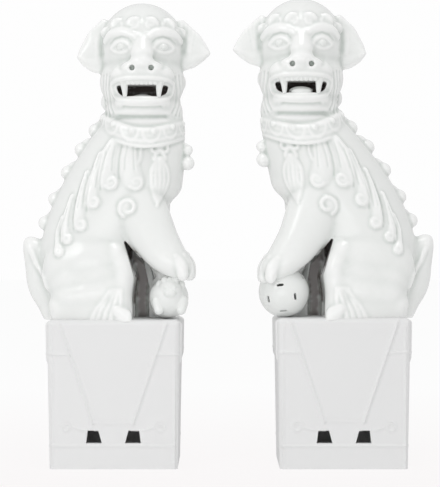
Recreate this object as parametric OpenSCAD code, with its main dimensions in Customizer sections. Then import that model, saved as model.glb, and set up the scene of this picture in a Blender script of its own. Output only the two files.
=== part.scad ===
// A pair of seated guardian lions in white glazed porcelain, each on a tall hollow plinth.
// The right statue mirrors the left one: the left lion holds a cub and the right one a pierced ball.
// Every casting and every applied sprig is a solid of its own, and each is cut to its neighbours, so
// that the pieces meet face to face along the seams where slip joins them.
// Millimetres, +Z up. The origin is on the table, midway between the two plinths.

/* [Pair] */
// Clear gap between the ears of the two lions
statue_gap = 20; // [4:1:200]

/* [Plinth] */
// Width at the top
plinth_w = 116; // [108:1:150]
// Depth at the top
plinth_d = 84; // [82:1:120]
// Height of the left plinth
plinth_h = 127; // [100:1:170]
// Height of the right plinth, which came out of the kiln a little taller
right_plinth_h = 131; // [100:1:170]
// How far each wall leans out from foot to top
plinth_flare = 2.2; // [0:0.1:4]
// Thickness of the walls and of the top
plinth_wall = 6; // [4:0.5:9]
// Radius of the upright corners
plinth_corner_r = 4; // [2:0.5:8]
// Height that the moulded ornament stands proud of the walls
relief = 0.9; // [0.4:0.1:1.5]

/* [Plinth cloth] */
// Width of the hanging cloth at the top of the front and back walls
cloth_top_w = 93; // [70:1:100]
// Width of the cloth at its lower end
cloth_tip_w = 34; // [20:1:60]
// Distance from the top of the plinth to the lower end of the cloth
cloth_drop = 88; // [60:1:92]
// Width of the braid along the edge of the cloth
cloth_braid = 2.5; // [1.5:0.1:4]
// Distance from the top of the plinth to the upper rail
upper_rail_drop = 29; // [20:1:50]
// Width of the rails
rail_w = 2; // [1:0.1:3]

/* [Plinth windows] */
// Height of the window sills
window_sill = 22; // [14:1:26]
// Height of the windows
window_h = 11; // [7:0.5:14]
// Width of a window at its sill
window_w = 14; // [8:0.5:18]
// Width of a window at its head
window_top_w = 9.5; // [5:0.5:14]
// Clear wall between the two windows at the sills
window_gap = 20; // [14:0.5:30]

/* [Lion] */
// Height of the lion above its plinth
lion_h = 277; // [230:1:335]
// How much further the right lion's head leans out over its chest
right_lean = 12; // [0:0.5:16]
// Wall thickness of the hollow torso
body_wall = 6; // [4:0.5:9]
// Height of the ball or the cub under the raised paw
quarry_h = 42; // [34:0.5:52]
// Diameter of the knobs along the spine
boss_d = 12; // [8:0.5:16]
// Diameter of the curls over the brow
curl_d = 11; // [7:0.5:14]
// Diameter of the eyeballs
eye_d = 14; // [10:0.5:18]
// Diameter of the nostrils
nostril_d = 5; // [3:0.5:7]

/* [Mouth] */
// Width of the open mouth
mouth_w = 46; // [36:1:50]
// Height of the open mouth
mouth_h = 12.6; // [9:0.2:15]
// Length of the upper fangs
fang_len = 10; // [6:0.5:10.5]
// Length of the small teeth
tooth_len = 4; // [2:0.5:4.5]

/* [Trappings] */
// Thickness of the collar cord
cord_d = 6; // [4:0.5:8]
// Diameter of the large bell on the chest
bell_d = 12.5; // [9:0.5:15]
// Diameter of the small bell above it
small_bell_d = 9.5; // [7:0.5:11]

/* [Ball] */
// Wall thickness of the pierced ball
ball_wall = 3.5; // [2.5:0.5:5]
// Length of the slits in the ball
slit_len = 8; // [5:0.5:10]
// Width of the slits in the ball
slit_w = 2.6; // [1.5:0.1:4]

/* [Hidden] */
PIECES = ["plinth", "torso", "head", "back_ear", "chest_ear", "eyes", "upper_teeth", "lower_teeth",
    "tongue", "brow_curls", "nape_mane", "collar", "bells", "near_tassel", "far_tassel",
    "near_mane_locks", "far_mane_locks", "spine_bosses", "near_foreleg", "far_foreleg",
    "near_hind_leg", "far_hind_leg", "tail"];
NODES = concat(
    [for (piece = PIECES) str("left_", piece)], ["left_cub"],
    [for (piece = PIECES) str("right_", piece)], ["right_ball"]);
node = "all";

glaze = [0.93, 0.945, 0.935];
fine = 48;     // facets round the ball
turned = 16;   // facets round an upright corner or a tooth
smooth = 12;   // facets round a large swelling
fair = 10;     // facets round a middling one
coarse = 8;    // facets round a small one
plain = 6;     // facets round the curls and the petals
skin = 0.01;   // thickness of the slices that a hull is stretched between
lute = 0.15;   // slip line round the ball
past = 1;      // how far a cut runs past the face that it opens
least_r = 0.5; // smallest radius of an inner corner

// The lion is laid out at its nominal height and grows or shrinks with lion_h.
nominal_h = 273;
k = lion_h / nominal_h;
quarry = quarry_h / k;
eye_facets = 16;

// A swelling of the clay is [x, y, z, half width, half depth, half height] at the nominal height,
// with x towards the chest, y away from the viewer and z up from the top of the plinth.
trunk = [
    [-20, 2, -8, 40, 30, 18],
    [-19, 2, 30, 43, 32, 22],
    [-13, 2, 63, 49, 33, 22],
    [-5, 2, 93, 50, 33, 22],
    [6, 1, 121, 48, 32, 20],
    [17, 0, 145, 43, 31, 18],
    [25, 0, 166, 35, 30, 14],
    [26, 0, 181, 33, 29, 12]];
breast = [[33, 0, 146, 28, 26, 18], [26, 0, 118, 33, 28, 20]];
neck_z = 175;
lean_from = 50;
// The two sides of the lion mirror about half of this y.
side_mirror = 2;
// The far flank closes the space behind the forelegs, and the belly is open between the near legs.
flank = [[0, 16, 34, 20, 14, 38], [26, 18, 40, 12, 9, 42]];
belly_opening = [20, -10, 28, 14, 16, 36];

face_x = 24;
skull = [face_x, 3, 235, 37, 36, 38.6];
cheeks = [face_x, -3, 214, 35, 33, 24];
muzzle = [face_x, -26, 209, 27, 19, 14];
snout = [face_x, -37, 217, 15.5, 10, 8.5];
nape = [face_x + 1, 2, 178, 34, 30, 16];
jaw = [face_x, -16, 187, 27, 22, 12];
brow = [[face_x - 21, -22, 243, 8, 7, 5], [face_x - 8, -31, 245, 8, 6, 5], [face_x, -32, 242, 6, 5, 4]];
head_hollow = [
    [face_x, 6, 236, 29, 28, 31],
    [face_x, 10, 205, 26, 20, 20],
    [face_x + 1, 3, 170, 27, 23, 14]];
// An ear's corners, each an offset from the middle of the face, y, z and a radius
ear_corners = [[31, 0, 250, 4], [49, -3, 240, 3.5], [54.5, -7, 226, 2.5], [34, -3, 214, 4]];
mouth_z = 189;
mouth_depth = 55;
nostril_dx = 8.2;
nostril_drop = 2;
nostril_depth = 16;
eye_dx = 18.3;
eye_out = 1;
fang_dx = 16.5;
fang_r = 2.8;
tooth_pitch = 4.5;
tooth_r = 2;
// The teeth stand this far behind the lips, which are measured at these heights off a swelling's middle.
behind_lip = 4;
upper_lip_dz = 8;
lower_lip_dz = 2;
tongue_line = [[face_x, -24, mouth_z, 10, 7, 5], [face_x, -15, mouth_z, 11, 7, 6]];
// The curls over one side of the brow, as offsets across and up from the middle of the skull
curl_places = [[7.5, 16], [19.5, 16.5], [30.5, 15]];
nape_curl = [9, 7, 10.5];
nape_sink = 3;

near_foreleg_line = [
    [22, -14, 104, 22, 17, 22],
    [27, -20, 82, 20, 16, 18],
    [36, -23, 24 + quarry, 18, 15, 16],
    [44, -25, 12 + quarry, 17, 14.5, 14],
    [52, -26, 3 + quarry, 16, 14.5, 12],
    [57, -26, quarry - 2, 11, 13, 10]];
far_foreleg_line = [
    [32, 14, 100, 18, 15, 20],
    [40, 18, 80, 15, 13, 16],
    [43, 19, 50, 12.5, 12, 14],
    [43, 19, 22, 11.5, 11.5, 12],
    [44, 18, 8, 12, 13, 9],
    [48, 17, 5, 8, 12, 7]];
thigh = [[-28, -16, 43, 28, 19, 31], [-10, -20, 50, 25, 17, 25], [0, -22, 44, 15, 14, 19]];
shank = [[0, -22, 40, 15, 14, 16], [-22, -24, 22, 13, 12, 14], [-38, -24, 12, 11, 11, 11]];
foot = [[-38, -24, 11, 11, 11, 11], [-15, -26, 9, 11, 11, 10], [5, -27, 8, 9.5, 11, 8.5]];
toe_r = 4.6;
toe_step = 6;
near_toes = [65, -26, quarry - 5];
far_toes = [52, 17, toe_r];
hind_toes = [12, -27, toe_r];
tail_line = [
    [-54, 3, 12, 11, 15, 13],
    [-62, 3, 30, 16, 15, 18],
    [-67, 3, 50, 13, 12, 18],
    [-73, 3, 63, 5.5, 7, 7],
    [-77, 3, 69, 2.5, 3, 2.5]];
boss_places = [[-15.5, 163], [-28, 147], [-40, 127], [-51, 104], [-59, 84]];
lock_lines = [
    [[2, -27, 143, 5, 6, 8], [-6, -31, 120, 9, 6.5, 10]],
    [[20, -27, 139, 6, 6, 8], [17, -31, 120, 10, 6.5, 11]],
    [[-11, -26, 142, 5, 6, 8], [-19, -31, 101, 9, 6.5, 9]],
    [[-24, -25, 120, 5, 6, 8], [-27.5, -31, 80, 8, 6, 9]],
    [[-38, -20, 103, 4, 6, 8], [-43, -24, 72, 6, 6, 8]]];
bow = [[31, -28, 148, 6, 5, 5], [40, -28, 145, 4, 5, 4], [49, -25, 147, 6, 5, 5]];
tassel_line = [[40, -28, 138, 5, 5, 6], [39, -29, 107, 6, 5, 8]];
petals = 14;
petal = [9, 9, 9.5];
petal_rise = 9;
nape_step = 16.5;
nape_drop = 21;
nape_top = 14;
collar_mid = [22, 0, 155];
collar_reach = 40;
collar_depth = 33;
collar_edge = 36;
collar_tilt = 14;
small_bell_at = [62, -5, 148];
bell_at = [61.5, -5, 134];
cub_body = [[34, -9, 13, 12, 14, 13], [46, -10, 17, 15, 15, 18]];
cub_head = [46, -23, 23, 13, 12, 13];
cub_muzzle = [46, -33, 19, 7, 5, 5.5];
cub_ear = [36, -22, 35, 4, 3.5, 5];
cub_arm = [[38, -24, 10, 6, 7, 9], [37, -32, 4, 5, 6, 5]];
cub_nominal_h = 42;

// Where the ball's inner edge and its back edge stand, and how deep its flat seat is
ball_edge = 29.36;
ball_back = 5.64;
ball_flat = 0.8;
ball_r = (quarry_h + ball_flat) / 2;
slit_turns = 6;
slit_lift = 31;

// The statues stand apart by their widest part, which is the ears or the plinth.
ear_reach = k * (face_x + max([for (p = ear_corners) p[0] + p[3]]));
statue_pitch = max(2 * ear_reach + k * right_lean, plinth_w) + statue_gap;
// The pair stands a little behind the origin, which centres it from snouts to plinth backs.
set_back = (k * (snout[4] - snout[1]) - plinth_d / 2 - relief) / 2;

// How far the leaning body is carried towards the chest at a height
function sway(z) = $lean * pow(min(max((z - lean_from) / (neck_z - lean_from), 0), 1), 2);
// The same swellings on the other side of the face
function across(blobs) = [for (b = blobs) [2 * face_x - b[0], b[1], b[2], b[3], b[4], b[5]]];
// The same swellings on the far side of the lion
function far(blobs) = [for (b = blobs) [b[0], side_mirror - b[1], b[2], b[3], b[4], b[5]]];
// The y of the front of a swelling at an offset from its middle
function front_of(b, dx, dz) =
    b[1] - b[4] * sqrt(max(0, 1 - pow(dx / b[3], 2) - pow(dz / b[5], 2)));
// A place on the back of the skull, at an offset from its middle
function nape_at(dx, dz) =
    [skull[0] + dx, 2 * skull[1] - front_of(skull, dx, dz) - nape_sink, skull[2] + dz];
// A point of the collar, from the angle round the neck
function collar_at(a) = collar_mid
    + [collar_reach * cos(a), collar_depth * cos(collar_tilt) * sin(a),
        collar_depth * sin(collar_tilt) * sin(a)];

module at(p)
    translate(k * [p[0] + sway(p[2]), p[1], p[2]])
        children();

module blob(b, inset = 0, facets = smooth)
    at(b)
        scale(k * [b[3], b[4], b[5]] - inset * [1, 1, 1])
            sphere(r = 1, $fn = facets);

module chain(blobs, inset = 0, facets = smooth)
    for (i = [0 : len(blobs) - 2])
        hull() {
            blob(blobs[i], inset, facets);
            blob(blobs[i + 1], inset, facets);
        }

module below(z)
    translate([-lion_h, -lion_h, z - 2 * lion_h])
        cube(2 * lion_h);

module above(z)
    translate([-lion_h, -lion_h, z])
        cube(2 * lion_h);

// The plinth

module plinth_block(inset, top) {
    corner = max(plinth_corner_r - inset, least_r);
    corner_at = [plinth_w / 2 - inset - corner, plinth_d / 2 - inset - corner];
    hull()
        for (sx = [-1, 1], sy = [-1, 1]) {
            translate([sx * (corner_at[0] - plinth_flare), sy * (corner_at[1] - plinth_flare), 0])
                cylinder(r = corner, h = skin, $fn = turned);
            translate([sx * corner_at[0], sy * corner_at[1], top - skin])
                cylinder(r = corner, h = skin, $fn = turned);
        }
}

module on_wall(half, turn)
    rotate(turn)
        translate([0, plinth_flare - half, 0])
            rotate([90 + atan(plinth_flare / $plinth_h), 0, 0])
                children();

module cloth_outline(inset)
    polygon([[-cloth_top_w / 2 + inset, $plinth_h], [cloth_top_w / 2 - inset, $plinth_h],
        [cloth_tip_w / 2 - inset, $plinth_h - cloth_drop],
        [-cloth_tip_w / 2 + inset, $plinth_h - cloth_drop]]);

module braid_outline()
    difference() {
        cloth_outline(0);
        translate([0, cloth_braid])
            cloth_outline(cloth_braid);
    }

module rail_outline(half, z)
    difference() {
        translate([plinth_corner_r + plinth_flare - half, z - rail_w / 2])
            square([2 * (half - plinth_corner_r - plinth_flare), rail_w]);
        cloth_outline(0);
    }

module raised(height)
    translate([0, 0, -past])
        linear_extrude(past + height)
            children();

module window_outline(side)
    polygon([for (p = [[window_gap / 2, 0], [window_gap / 2 + window_w, 0],
        [window_gap / 2 + window_w, window_h],
        [window_gap / 2 + window_w - window_top_w, window_h]]) [side * p[0], window_sill + p[1]]]);

module plinth()
    color(glaze)
        difference() {
            union() {
                difference() {
                    plinth_block(0, $plinth_h);
                    translate([0, 0, -past])
                        plinth_block(plinth_wall, $plinth_h - plinth_wall + past);
                }
                for (turn = [0, 180])
                    on_wall(plinth_d / 2, turn) {
                        raised(relief)
                            difference() {
                                braid_outline();
                                translate([-plinth_w / 2, $plinth_h - plinth_corner_r])
                                    square([plinth_w, plinth_corner_r]);
                            }
                        raised(relief)
                            rail_outline(plinth_w / 2, $plinth_h - upper_rail_drop);
                        raised(relief)
                            rail_outline(plinth_w / 2, window_sill - rail_w);
                    }
                for (turn = [90, 270])
                    on_wall(plinth_w / 2, turn)
                        raised(relief)
                            translate([plinth_corner_r + plinth_flare - plinth_d / 2,
                                $plinth_h - upper_rail_drop - rail_w / 2])
                                square([plinth_d - 2 * (plinth_corner_r + plinth_flare), rail_w]);
            }
            for (side = [-1, 1])
                translate([0, plinth_d, 0])
                    rotate([90, 0, 0])
                        linear_extrude(2 * plinth_d)
                            window_outline(side);
        }

// The two large castings

module torso_form(inset = 0) {
    chain(trunk, inset);
    chain(breast, inset);
    chain(flank, inset);
}

module torso()
    color(glaze)
        difference() {
            torso_form();
            torso_form(body_wall);
            blob(belly_opening);
            below(0);
            above(k * neck_z);
        }

module head_form() {
    chain([skull, cheeks, muzzle, snout]);
    chain([cheeks, nape, jaw]);
    chain(brow, 0, coarse);
    chain(across(brow), 0, coarse);
}

module mouth_opening()
    at([face_x, -mouth_depth, mouth_z])
        rotate([-90, 0, 0])
            translate([-mouth_w / 2, -mouth_h])
                linear_extrude(k * (mouth_depth + head_hollow[1][1]))
                    square([mouth_w, mouth_h]);

module head()
    color(glaze)
        difference() {
            head_form();
            chain(head_hollow);
            mouth_opening();
            for (side = [-1, 1])
                at([face_x + nostril_dx * side, -mouth_depth, snout[2] - nostril_drop])
                    rotate([-90, 0, 0])
                        cylinder(d = nostril_d, h = k * nostril_depth, $fn = turned);
            for (side = [-1, 1])
                eye_at(side)
                    sphere(d = eye_d / pow(cos(180 / eye_facets), 2), $fn = eye_facets);
            below(k * neck_z);
        }

// What is applied to the head

module ear(side)
    color(glaze)
        difference() {
            hull()
                for (p = ear_corners)
                    blob([face_x + side * p[0], p[1], p[2], p[3], p[3], p[3]], 0, coarse);
            head_form();
        }

module back_ear() ear(-1);
module chest_ear() ear(1);

module eye_at(side)
    at([face_x + eye_dx * side, front_of(skull, eye_dx, 0) - eye_out, skull[2]])
        children();

module eyes()
    color(glaze)
        for (side = [-1, 1])
            eye_at(side)
                sphere(d = eye_d, $fn = 2 * smooth);

module fang(dx, lip, lip_dz, root_r, len)
    translate([k * (face_x + sway(mouth_z) + dx), k * (front_of(lip, dx, lip_dz) + behind_lip), 0])
        cylinder(r1 = k * root_r / 3, r2 = k * root_r, h = len, $fn = turned);

module upper_teeth()
    color(glaze)
        translate([0, 0, k * mouth_z + mouth_h]) {
            for (side = [-1, 1])
                translate([0, 0, -fang_len])
                    fang(fang_dx * side, muzzle, upper_lip_dz, fang_r, fang_len);
            for (i = [-2.5 : 2.5])
                translate([0, 0, -tooth_len])
                    fang(tooth_pitch * i, muzzle, upper_lip_dz, tooth_r, tooth_len);
        }

module lower_teeth()
    color(glaze)
        translate([0, 0, k * mouth_z])
            for (i = [-2.5 : 2.5])
                translate([0, 0, tooth_len])
                    mirror([0, 0, 1])
                        fang(tooth_pitch * i, jaw, lower_lip_dz, tooth_r, tooth_len);

module tongue()
    color(glaze)
        difference() {
            chain(tongue_line);
            below(k * mouth_z);
        }

module brow_curls()
    color(glaze)
        difference() {
            for (side = [-1, 1], p = curl_places)
                at([face_x + side * p[0], front_of(skull, p[0], p[1]), skull[2] + p[1]])
                    sphere(d = curl_d, $fn = plain);
            head_form();
            back_ear();
            chest_ear();
        }

module nape_mane()
    color(glaze)
        difference() {
            for (row = [0 : 1], side = [-1.5 : 1.5])
                blob(concat(nape_at(nape_step * side, nape_top - nape_drop * row), nape_curl), 0, coarse);
            head_form();
            torso_form();
        }

// The trappings round the neck

module collar_form() {
    at(collar_mid)
        rotate([collar_tilt, 0, 0])
            scale([collar_reach / collar_depth, 1, 1])
                rotate_extrude($fn = 2 * smooth)
                    translate([k * collar_edge - cord_d / 2, 0])
                        circle(d = cord_d, $fn = plain);
    for (i = [0 : petals - 1])
        blob(concat(collar_at(360 * (i + 0.5) / petals) + [0, 0, petal_rise], petal), 0, plain);
}

module collar()
    color(glaze)
        difference() {
            collar_form();
            bosses_form();
            torso_form();
            head_form();
        }

module bells_form() {
    at(small_bell_at)
        sphere(d = small_bell_d, $fn = fair);
    at(bell_at)
        sphere(d = bell_d, $fn = fair);
}

module bells()
    color(glaze)
        difference() {
            bells_form();
            torso_form();
            collar_form();
        }

module tassel_form(is_far) {
    chain(is_far ? far(bow) : bow, 0, coarse);
    chain(is_far ? far(tassel_line) : tassel_line, 0, coarse);
}

module tassel(is_far)
    color(glaze)
        difference() {
            tassel_form(is_far);
            torso_form();
            collar_form();
            bells_form();
            near_foreleg_form();
            far_foreleg_form();
        }

module near_tassel() tassel(false);
module far_tassel() tassel(true);

// The mane and the spine

module mane_locks(is_far)
    color(glaze)
        difference() {
            for (line = lock_lines)
                chain(is_far ? far(line) : line, 0, coarse);
            torso_form();
            collar_form();
            tassel_form(is_far);
            near_foreleg_form();
            far_foreleg_form();
            hind_leg_form(false);
            hind_leg_form(true);
        }

module near_mane_locks() mane_locks(false);
module far_mane_locks() mane_locks(true);

module bosses_form()
    for (p = boss_places)
        at([p[0], side_mirror / 2, p[1]])
            sphere(d = boss_d, $fn = coarse);

module spine_bosses()
    color(glaze)
        difference() {
            bosses_form();
            torso_form();
        }

// The limbs

module toes(p)
    for (i = [-1.5 : 1.5])
        blob([p[0] - abs(i), p[1] + toe_step * i, p[2], toe_r, toe_r, toe_r], 0, coarse);

module near_foreleg_form() {
    chain(near_foreleg_line);
    toes(near_toes);
}

module far_foreleg_form() {
    chain(far_foreleg_line, 0, fair);
    toes(far_toes);
}

module hind_leg_form(is_far) {
    chain(is_far ? far(thigh) : thigh);
    chain(is_far ? far(shank) : shank, 0, fair);
    chain(is_far ? far(foot) : foot, 0, fair);
    toes(is_far ? [hind_toes[0], side_mirror - hind_toes[1], hind_toes[2]] : hind_toes);
}

module near_foreleg(quarry_is_ball)
    color(glaze)
        difference() {
            near_foreleg_form();
            torso_form();
            if (quarry_is_ball)
                ball_place()
                    sphere(r = ball_r + lute, $fn = 2 * turned);
            else
                cub_form();
        }

module far_foreleg()
    color(glaze)
        difference() {
            far_foreleg_form();
            torso_form();
            below(0);
        }

module hind_leg(is_far)
    color(glaze)
        difference() {
            hind_leg_form(is_far);
            torso_form();
            near_foreleg_form();
            far_foreleg_form();
            below(0);
        }

module near_hind_leg() hind_leg(false);
module far_hind_leg() hind_leg(true);

module tail_form() chain(tail_line);

module tail()
    color(glaze)
        difference() {
            tail_form();
            torso_form();
            hind_leg_form(false);
            hind_leg_form(true);
            below(0);
        }

// What the raised paw holds

module ball_place()
    translate([k * ball_edge + ball_r, k * ball_back - ball_r, ball_r - ball_flat])
        children();

module slit()
    rotate([90, 0, 0])
        linear_extrude(2 * ball_r)
            union() {
                square([slit_len - slit_w, slit_w], center = true);
                for (side = [-1, 1])
                    translate([side * (slit_len - slit_w) / 2, 0])
                        circle(d = slit_w, $fn = 2 * smooth);
            }

module ball()
    color(glaze)
        difference() {
            ball_place()
                difference() {
                    sphere(r = ball_r, $fn = fine);
                    sphere(r = ball_r - ball_wall, $fn = fine);
                    for (i = [0 : slit_turns - 1])
                        rotate(360 * (i + 0.5) / slit_turns)
                            rotate([0, 90, 0])
                                slit();
                    for (i = [0 : 2 : slit_turns - 1], lift = [-slit_lift, slit_lift])
                        rotate(360 * i / slit_turns)
                            rotate([lift, 0, 0])
                                slit();
                }
            below(0);
        }

module cub_form()
    scale(quarry_h / cub_nominal_h) {
        chain(cub_body, 0, fair);
        blob(cub_head, 0, fair);
        blob(cub_muzzle, 0, coarse);
        for (shift = [0, 2]) {
            blob(cub_ear + shift * [cub_head[0] - cub_ear[0], 0, 0, 0, 0, 0], 0, coarse);
            chain([for (b = cub_arm) b + shift * [cub_head[0] - b[0], 0, 0, 0, 0, 0]], 0, coarse);
        }
    }

module cub()
    color(glaze)
        difference() {
            cub_form();
            torso_form();
            far_foreleg_form();
            below(0);
        }

// The assembly

function wanted(side, piece) = node == "all" || node == str(side, "_", piece);

module on_plinth()
    translate([0, 0, $plinth_h])
        children();

module statue(side) {
    if (wanted(side, "plinth")) plinth();
    if (wanted(side, "torso")) on_plinth() torso();
    if (wanted(side, "head")) on_plinth() head();
    if (wanted(side, "back_ear")) on_plinth() back_ear();
    if (wanted(side, "chest_ear")) on_plinth() chest_ear();
    if (wanted(side, "eyes")) on_plinth() eyes();
    if (wanted(side, "upper_teeth")) on_plinth() upper_teeth();
    if (wanted(side, "lower_teeth")) on_plinth() lower_teeth();
    if (wanted(side, "tongue")) on_plinth() tongue();
    if (wanted(side, "brow_curls")) on_plinth() brow_curls();
    if (wanted(side, "nape_mane")) on_plinth() nape_mane();
    if (wanted(side, "collar")) on_plinth() collar();
    if (wanted(side, "bells")) on_plinth() bells();
    if (wanted(side, "near_tassel")) on_plinth() near_tassel();
    if (wanted(side, "far_tassel")) on_plinth() far_tassel();
    if (wanted(side, "near_mane_locks")) on_plinth() near_mane_locks();
    if (wanted(side, "far_mane_locks")) on_plinth() far_mane_locks();
    if (wanted(side, "spine_bosses")) on_plinth() spine_bosses();
    if (wanted(side, "near_foreleg")) on_plinth() near_foreleg(side == "right");
    if (wanted(side, "far_foreleg")) on_plinth() far_foreleg();
    if (wanted(side, "near_hind_leg")) on_plinth() near_hind_leg();
    if (wanted(side, "far_hind_leg")) on_plinth() far_hind_leg();
    if (wanted(side, "tail")) on_plinth() tail();
}

translate([-statue_pitch / 2, set_back, 0]) {
    $plinth_h = plinth_h;
    $lean = 0;
    statue("left");
    if (wanted("left", "cub")) on_plinth() cub();
}
translate([statue_pitch / 2, set_back, 0])
    mirror([1, 0, 0]) {
        $plinth_h = right_plinth_h;
        $lean = right_lean;
        statue("right");
        if (wanted("right", "ball")) on_plinth() ball();
    }
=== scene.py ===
# %% [markdown]
# # A pair of guardian lions in white glazed porcelain
#
# Two seated lions mirror each other on tall hollow plinths. A potter casts the body, the head and the
# limbs in moulds, sticks on small pressed ornaments, called sprigs, with wet clay, and fires it all under
# one glaze. The glaze rounds every edge and fills every seam a little, so the finished lion looks grown,
# not assembled. This script models the lions the same way: pellets of clay for each piece are fused,
# softened, cut and scratched, and then taken apart again into the named pieces.

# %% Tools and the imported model
import math

import bmesh
import bpy
import numpy as np
from mathutils import Matrix, Vector
from mathutils.bvhtree import BVHTree

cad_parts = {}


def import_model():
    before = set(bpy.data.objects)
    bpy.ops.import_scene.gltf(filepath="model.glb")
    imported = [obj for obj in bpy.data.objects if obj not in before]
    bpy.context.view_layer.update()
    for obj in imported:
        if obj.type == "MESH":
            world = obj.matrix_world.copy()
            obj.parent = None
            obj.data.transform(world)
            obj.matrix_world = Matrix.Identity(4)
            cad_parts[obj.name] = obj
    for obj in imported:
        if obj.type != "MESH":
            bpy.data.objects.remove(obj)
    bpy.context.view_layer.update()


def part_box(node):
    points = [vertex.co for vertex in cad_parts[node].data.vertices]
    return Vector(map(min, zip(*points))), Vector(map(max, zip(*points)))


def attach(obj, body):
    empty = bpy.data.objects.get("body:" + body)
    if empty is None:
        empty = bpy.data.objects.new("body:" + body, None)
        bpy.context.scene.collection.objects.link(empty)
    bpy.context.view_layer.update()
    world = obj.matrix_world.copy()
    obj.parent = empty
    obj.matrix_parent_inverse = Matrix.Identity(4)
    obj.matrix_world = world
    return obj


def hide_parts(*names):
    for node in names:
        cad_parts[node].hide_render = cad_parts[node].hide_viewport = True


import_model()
scene = bpy.context.scene
MM = 0.001

# %% [markdown]
# ## Where things stand
#
# All clay is measured in millimetres from the middle of a plinth's top: x runs towards the chest, y runs
# away from the viewer, and z runs up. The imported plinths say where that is. The right statue is the left
# one mirrored, and its head leans out further over the chest. Its feet stand a little lower than packed,
# because in the photograph both plinths end at the same height.

# %% The two statues' own frames
SIDES = ("left", "right")
RIGHT_LEAN = 12.0
LEAN_FROM = 50.0
LEAN_TO = 178.0
RIGHT_SINK = 2.5
LION_TOP = 277.0


def sink(side):
    """How much lower than packed a statue's feet are shown, in millimetres."""
    return RIGHT_SINK if side == "right" else 0.0


def seat(side):
    """The middle of a plinth's top, in metres."""
    low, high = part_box(f"{side}_plinth")
    return np.array([(low.x + high.x) / 2, (low.y + high.y) / 2, high.z - sink(side) * MM])


def sway(side, z):
    """How far a statue's clay is carried towards the chest at a height."""
    ramp = np.clip((np.asarray(z) - LEAN_FROM) / (LEAN_TO - LEAN_FROM), 0, 1)
    return (RIGHT_LEAN if side == "right" else 0.0) * ramp ** 2


def to_world(side, co):
    """Clay millimetres to metres in the shared frame."""
    out = np.array(co, float)
    out[:, 0] += sway(side, out[:, 2])
    out[:, 2] *= 1 + sink(side) / LION_TOP
    if side == "right":
        out[:, 0] *= -1
    return out * MM + seat(side)


for side in SIDES:
    print(side, "plinth top at", seat(side).round(4))

# %% [markdown]
# ## Pellets of clay
#
# A limb or a lock is a run of ellipsoids along a smooth line, close enough together to read as one form.
# Blender's metaballs could fuse them too, but a voxel remesh keeps small sprigs crisp and is quicker.
# Each pellet remembers the piece that it belongs to, so the fused lion can be taken apart later.

# %% The pieces and the pellet store
PIECES = ["torso", "head", "back_ear", "chest_ear", "brow_curls", "nape_mane", "collar", "bells",
          "near_tassel", "far_tassel", "near_mane_locks", "far_mane_locks", "spine_bosses",
          "near_foreleg", "far_foreleg", "near_hind_leg", "far_hind_leg", "tail"]
HOLLOW = len(PIECES)
PELLET_STEP = 0.5
PELLET_GAP = 2.2
SIDE_MIRROR = 2.0


def smooth_run(points):
    """Swellings spaced closely along a smooth curve through the given ones."""
    p = np.array(points, float)
    if len(p) == 1:
        return p
    padded = np.vstack([2 * p[0] - p[1], p, 2 * p[-1] - p[-2]])
    run = []
    for a, b, c, d in zip(padded, padded[1:], padded[2:], padded[3:]):
        gap = np.linalg.norm(c[:3] - b[:3])
        n = max(1, math.ceil(gap / min(PELLET_GAP, PELLET_STEP * min(b[3:].min(), c[3:].min()))))
        for t in np.arange(n) / n:
            q = 0.5 * (2 * b + (c - a) * t + (2 * a - 5 * b + 4 * c - d) * t ** 2
                       + (3 * b - a - 3 * c + d) * t ** 3)
            q[3:] = np.maximum(q[3:], np.minimum(b[3:], c[3:]))
            run.append(q)
    run.append(p[-1])
    return np.array(run)


def far(points):
    """The same swellings on the far side of the lion."""
    return [(p[0], SIDE_MIRROR - p[1], *p[2:]) for p in points]


def mesh_of(corners, *blocks):
    """A mesh from an array of corners and blocks of faces, each block with its own number of sides."""
    around = np.concatenate([block.ravel() for block in blocks])
    sides = np.concatenate([np.full(len(block), block.shape[1]) for block in blocks])
    mesh = bpy.data.meshes.new("clay")
    mesh.vertices.add(len(corners))
    mesh.vertices.foreach_set("co", np.ascontiguousarray(corners, np.float32).ravel())
    mesh.loops.add(len(around))
    mesh.loops.foreach_set("vertex_index", around.astype(np.int32))
    mesh.polygons.add(len(sides))
    mesh.polygons.foreach_set("loop_start", (np.cumsum(sides) - sides).astype(np.int32))
    mesh.update(calc_edges=True)
    return mesh


BALLS = {}


def unit_ball(detail):
    """Corners and triangles of a ball of radius 1."""
    if detail not in BALLS:
        bm = bmesh.new()
        bmesh.ops.create_icosphere(bm, subdivisions=detail, radius=1)
        bm.verts.index_update()
        corners = np.array([v.co for v in bm.verts])
        BALLS[detail] = (corners, np.array([[v.index for v in f.verts] for f in bm.faces]))
        bm.free()
    return BALLS[detail]


print(len(PIECES), "pieces are modelled in fused clay")

# %% [markdown]
# ## Fusing and smoothing
#
# A voxel remesh turns overlapping solids into one skin, and a boolean takes a second solid, the cutter,
# away from it. The skin is then smoothed, as glaze smooths it: each point moves towards the mean of its
# neighbours. A blunt tool can scratch the skin, too: a scratch is a line in x and z that moves the skin
# in or out along its own normal. A Smooth modifier and sculpting would do for one form, but arrays of
# points let the same skin be smoothed, scratched and measured.

# %% Remesh, cut and smooth
VOXEL = 0.8
CUTTER_SCALE = 1.5


def new_object(name, mesh):
    obj = bpy.data.objects.new(name, mesh)
    scene.collection.objects.link(obj)
    return obj


def evaluated(obj):
    """The mesh that an object's modifiers make."""
    graph = bpy.context.evaluated_depsgraph_get()
    return bpy.data.meshes.new_from_object(obj.evaluated_get(graph))


def remesh(obj, voxel):
    step = obj.modifiers.new("fuse", "REMESH")
    step.mode = "VOXEL"
    step.voxel_size = voxel


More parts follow.
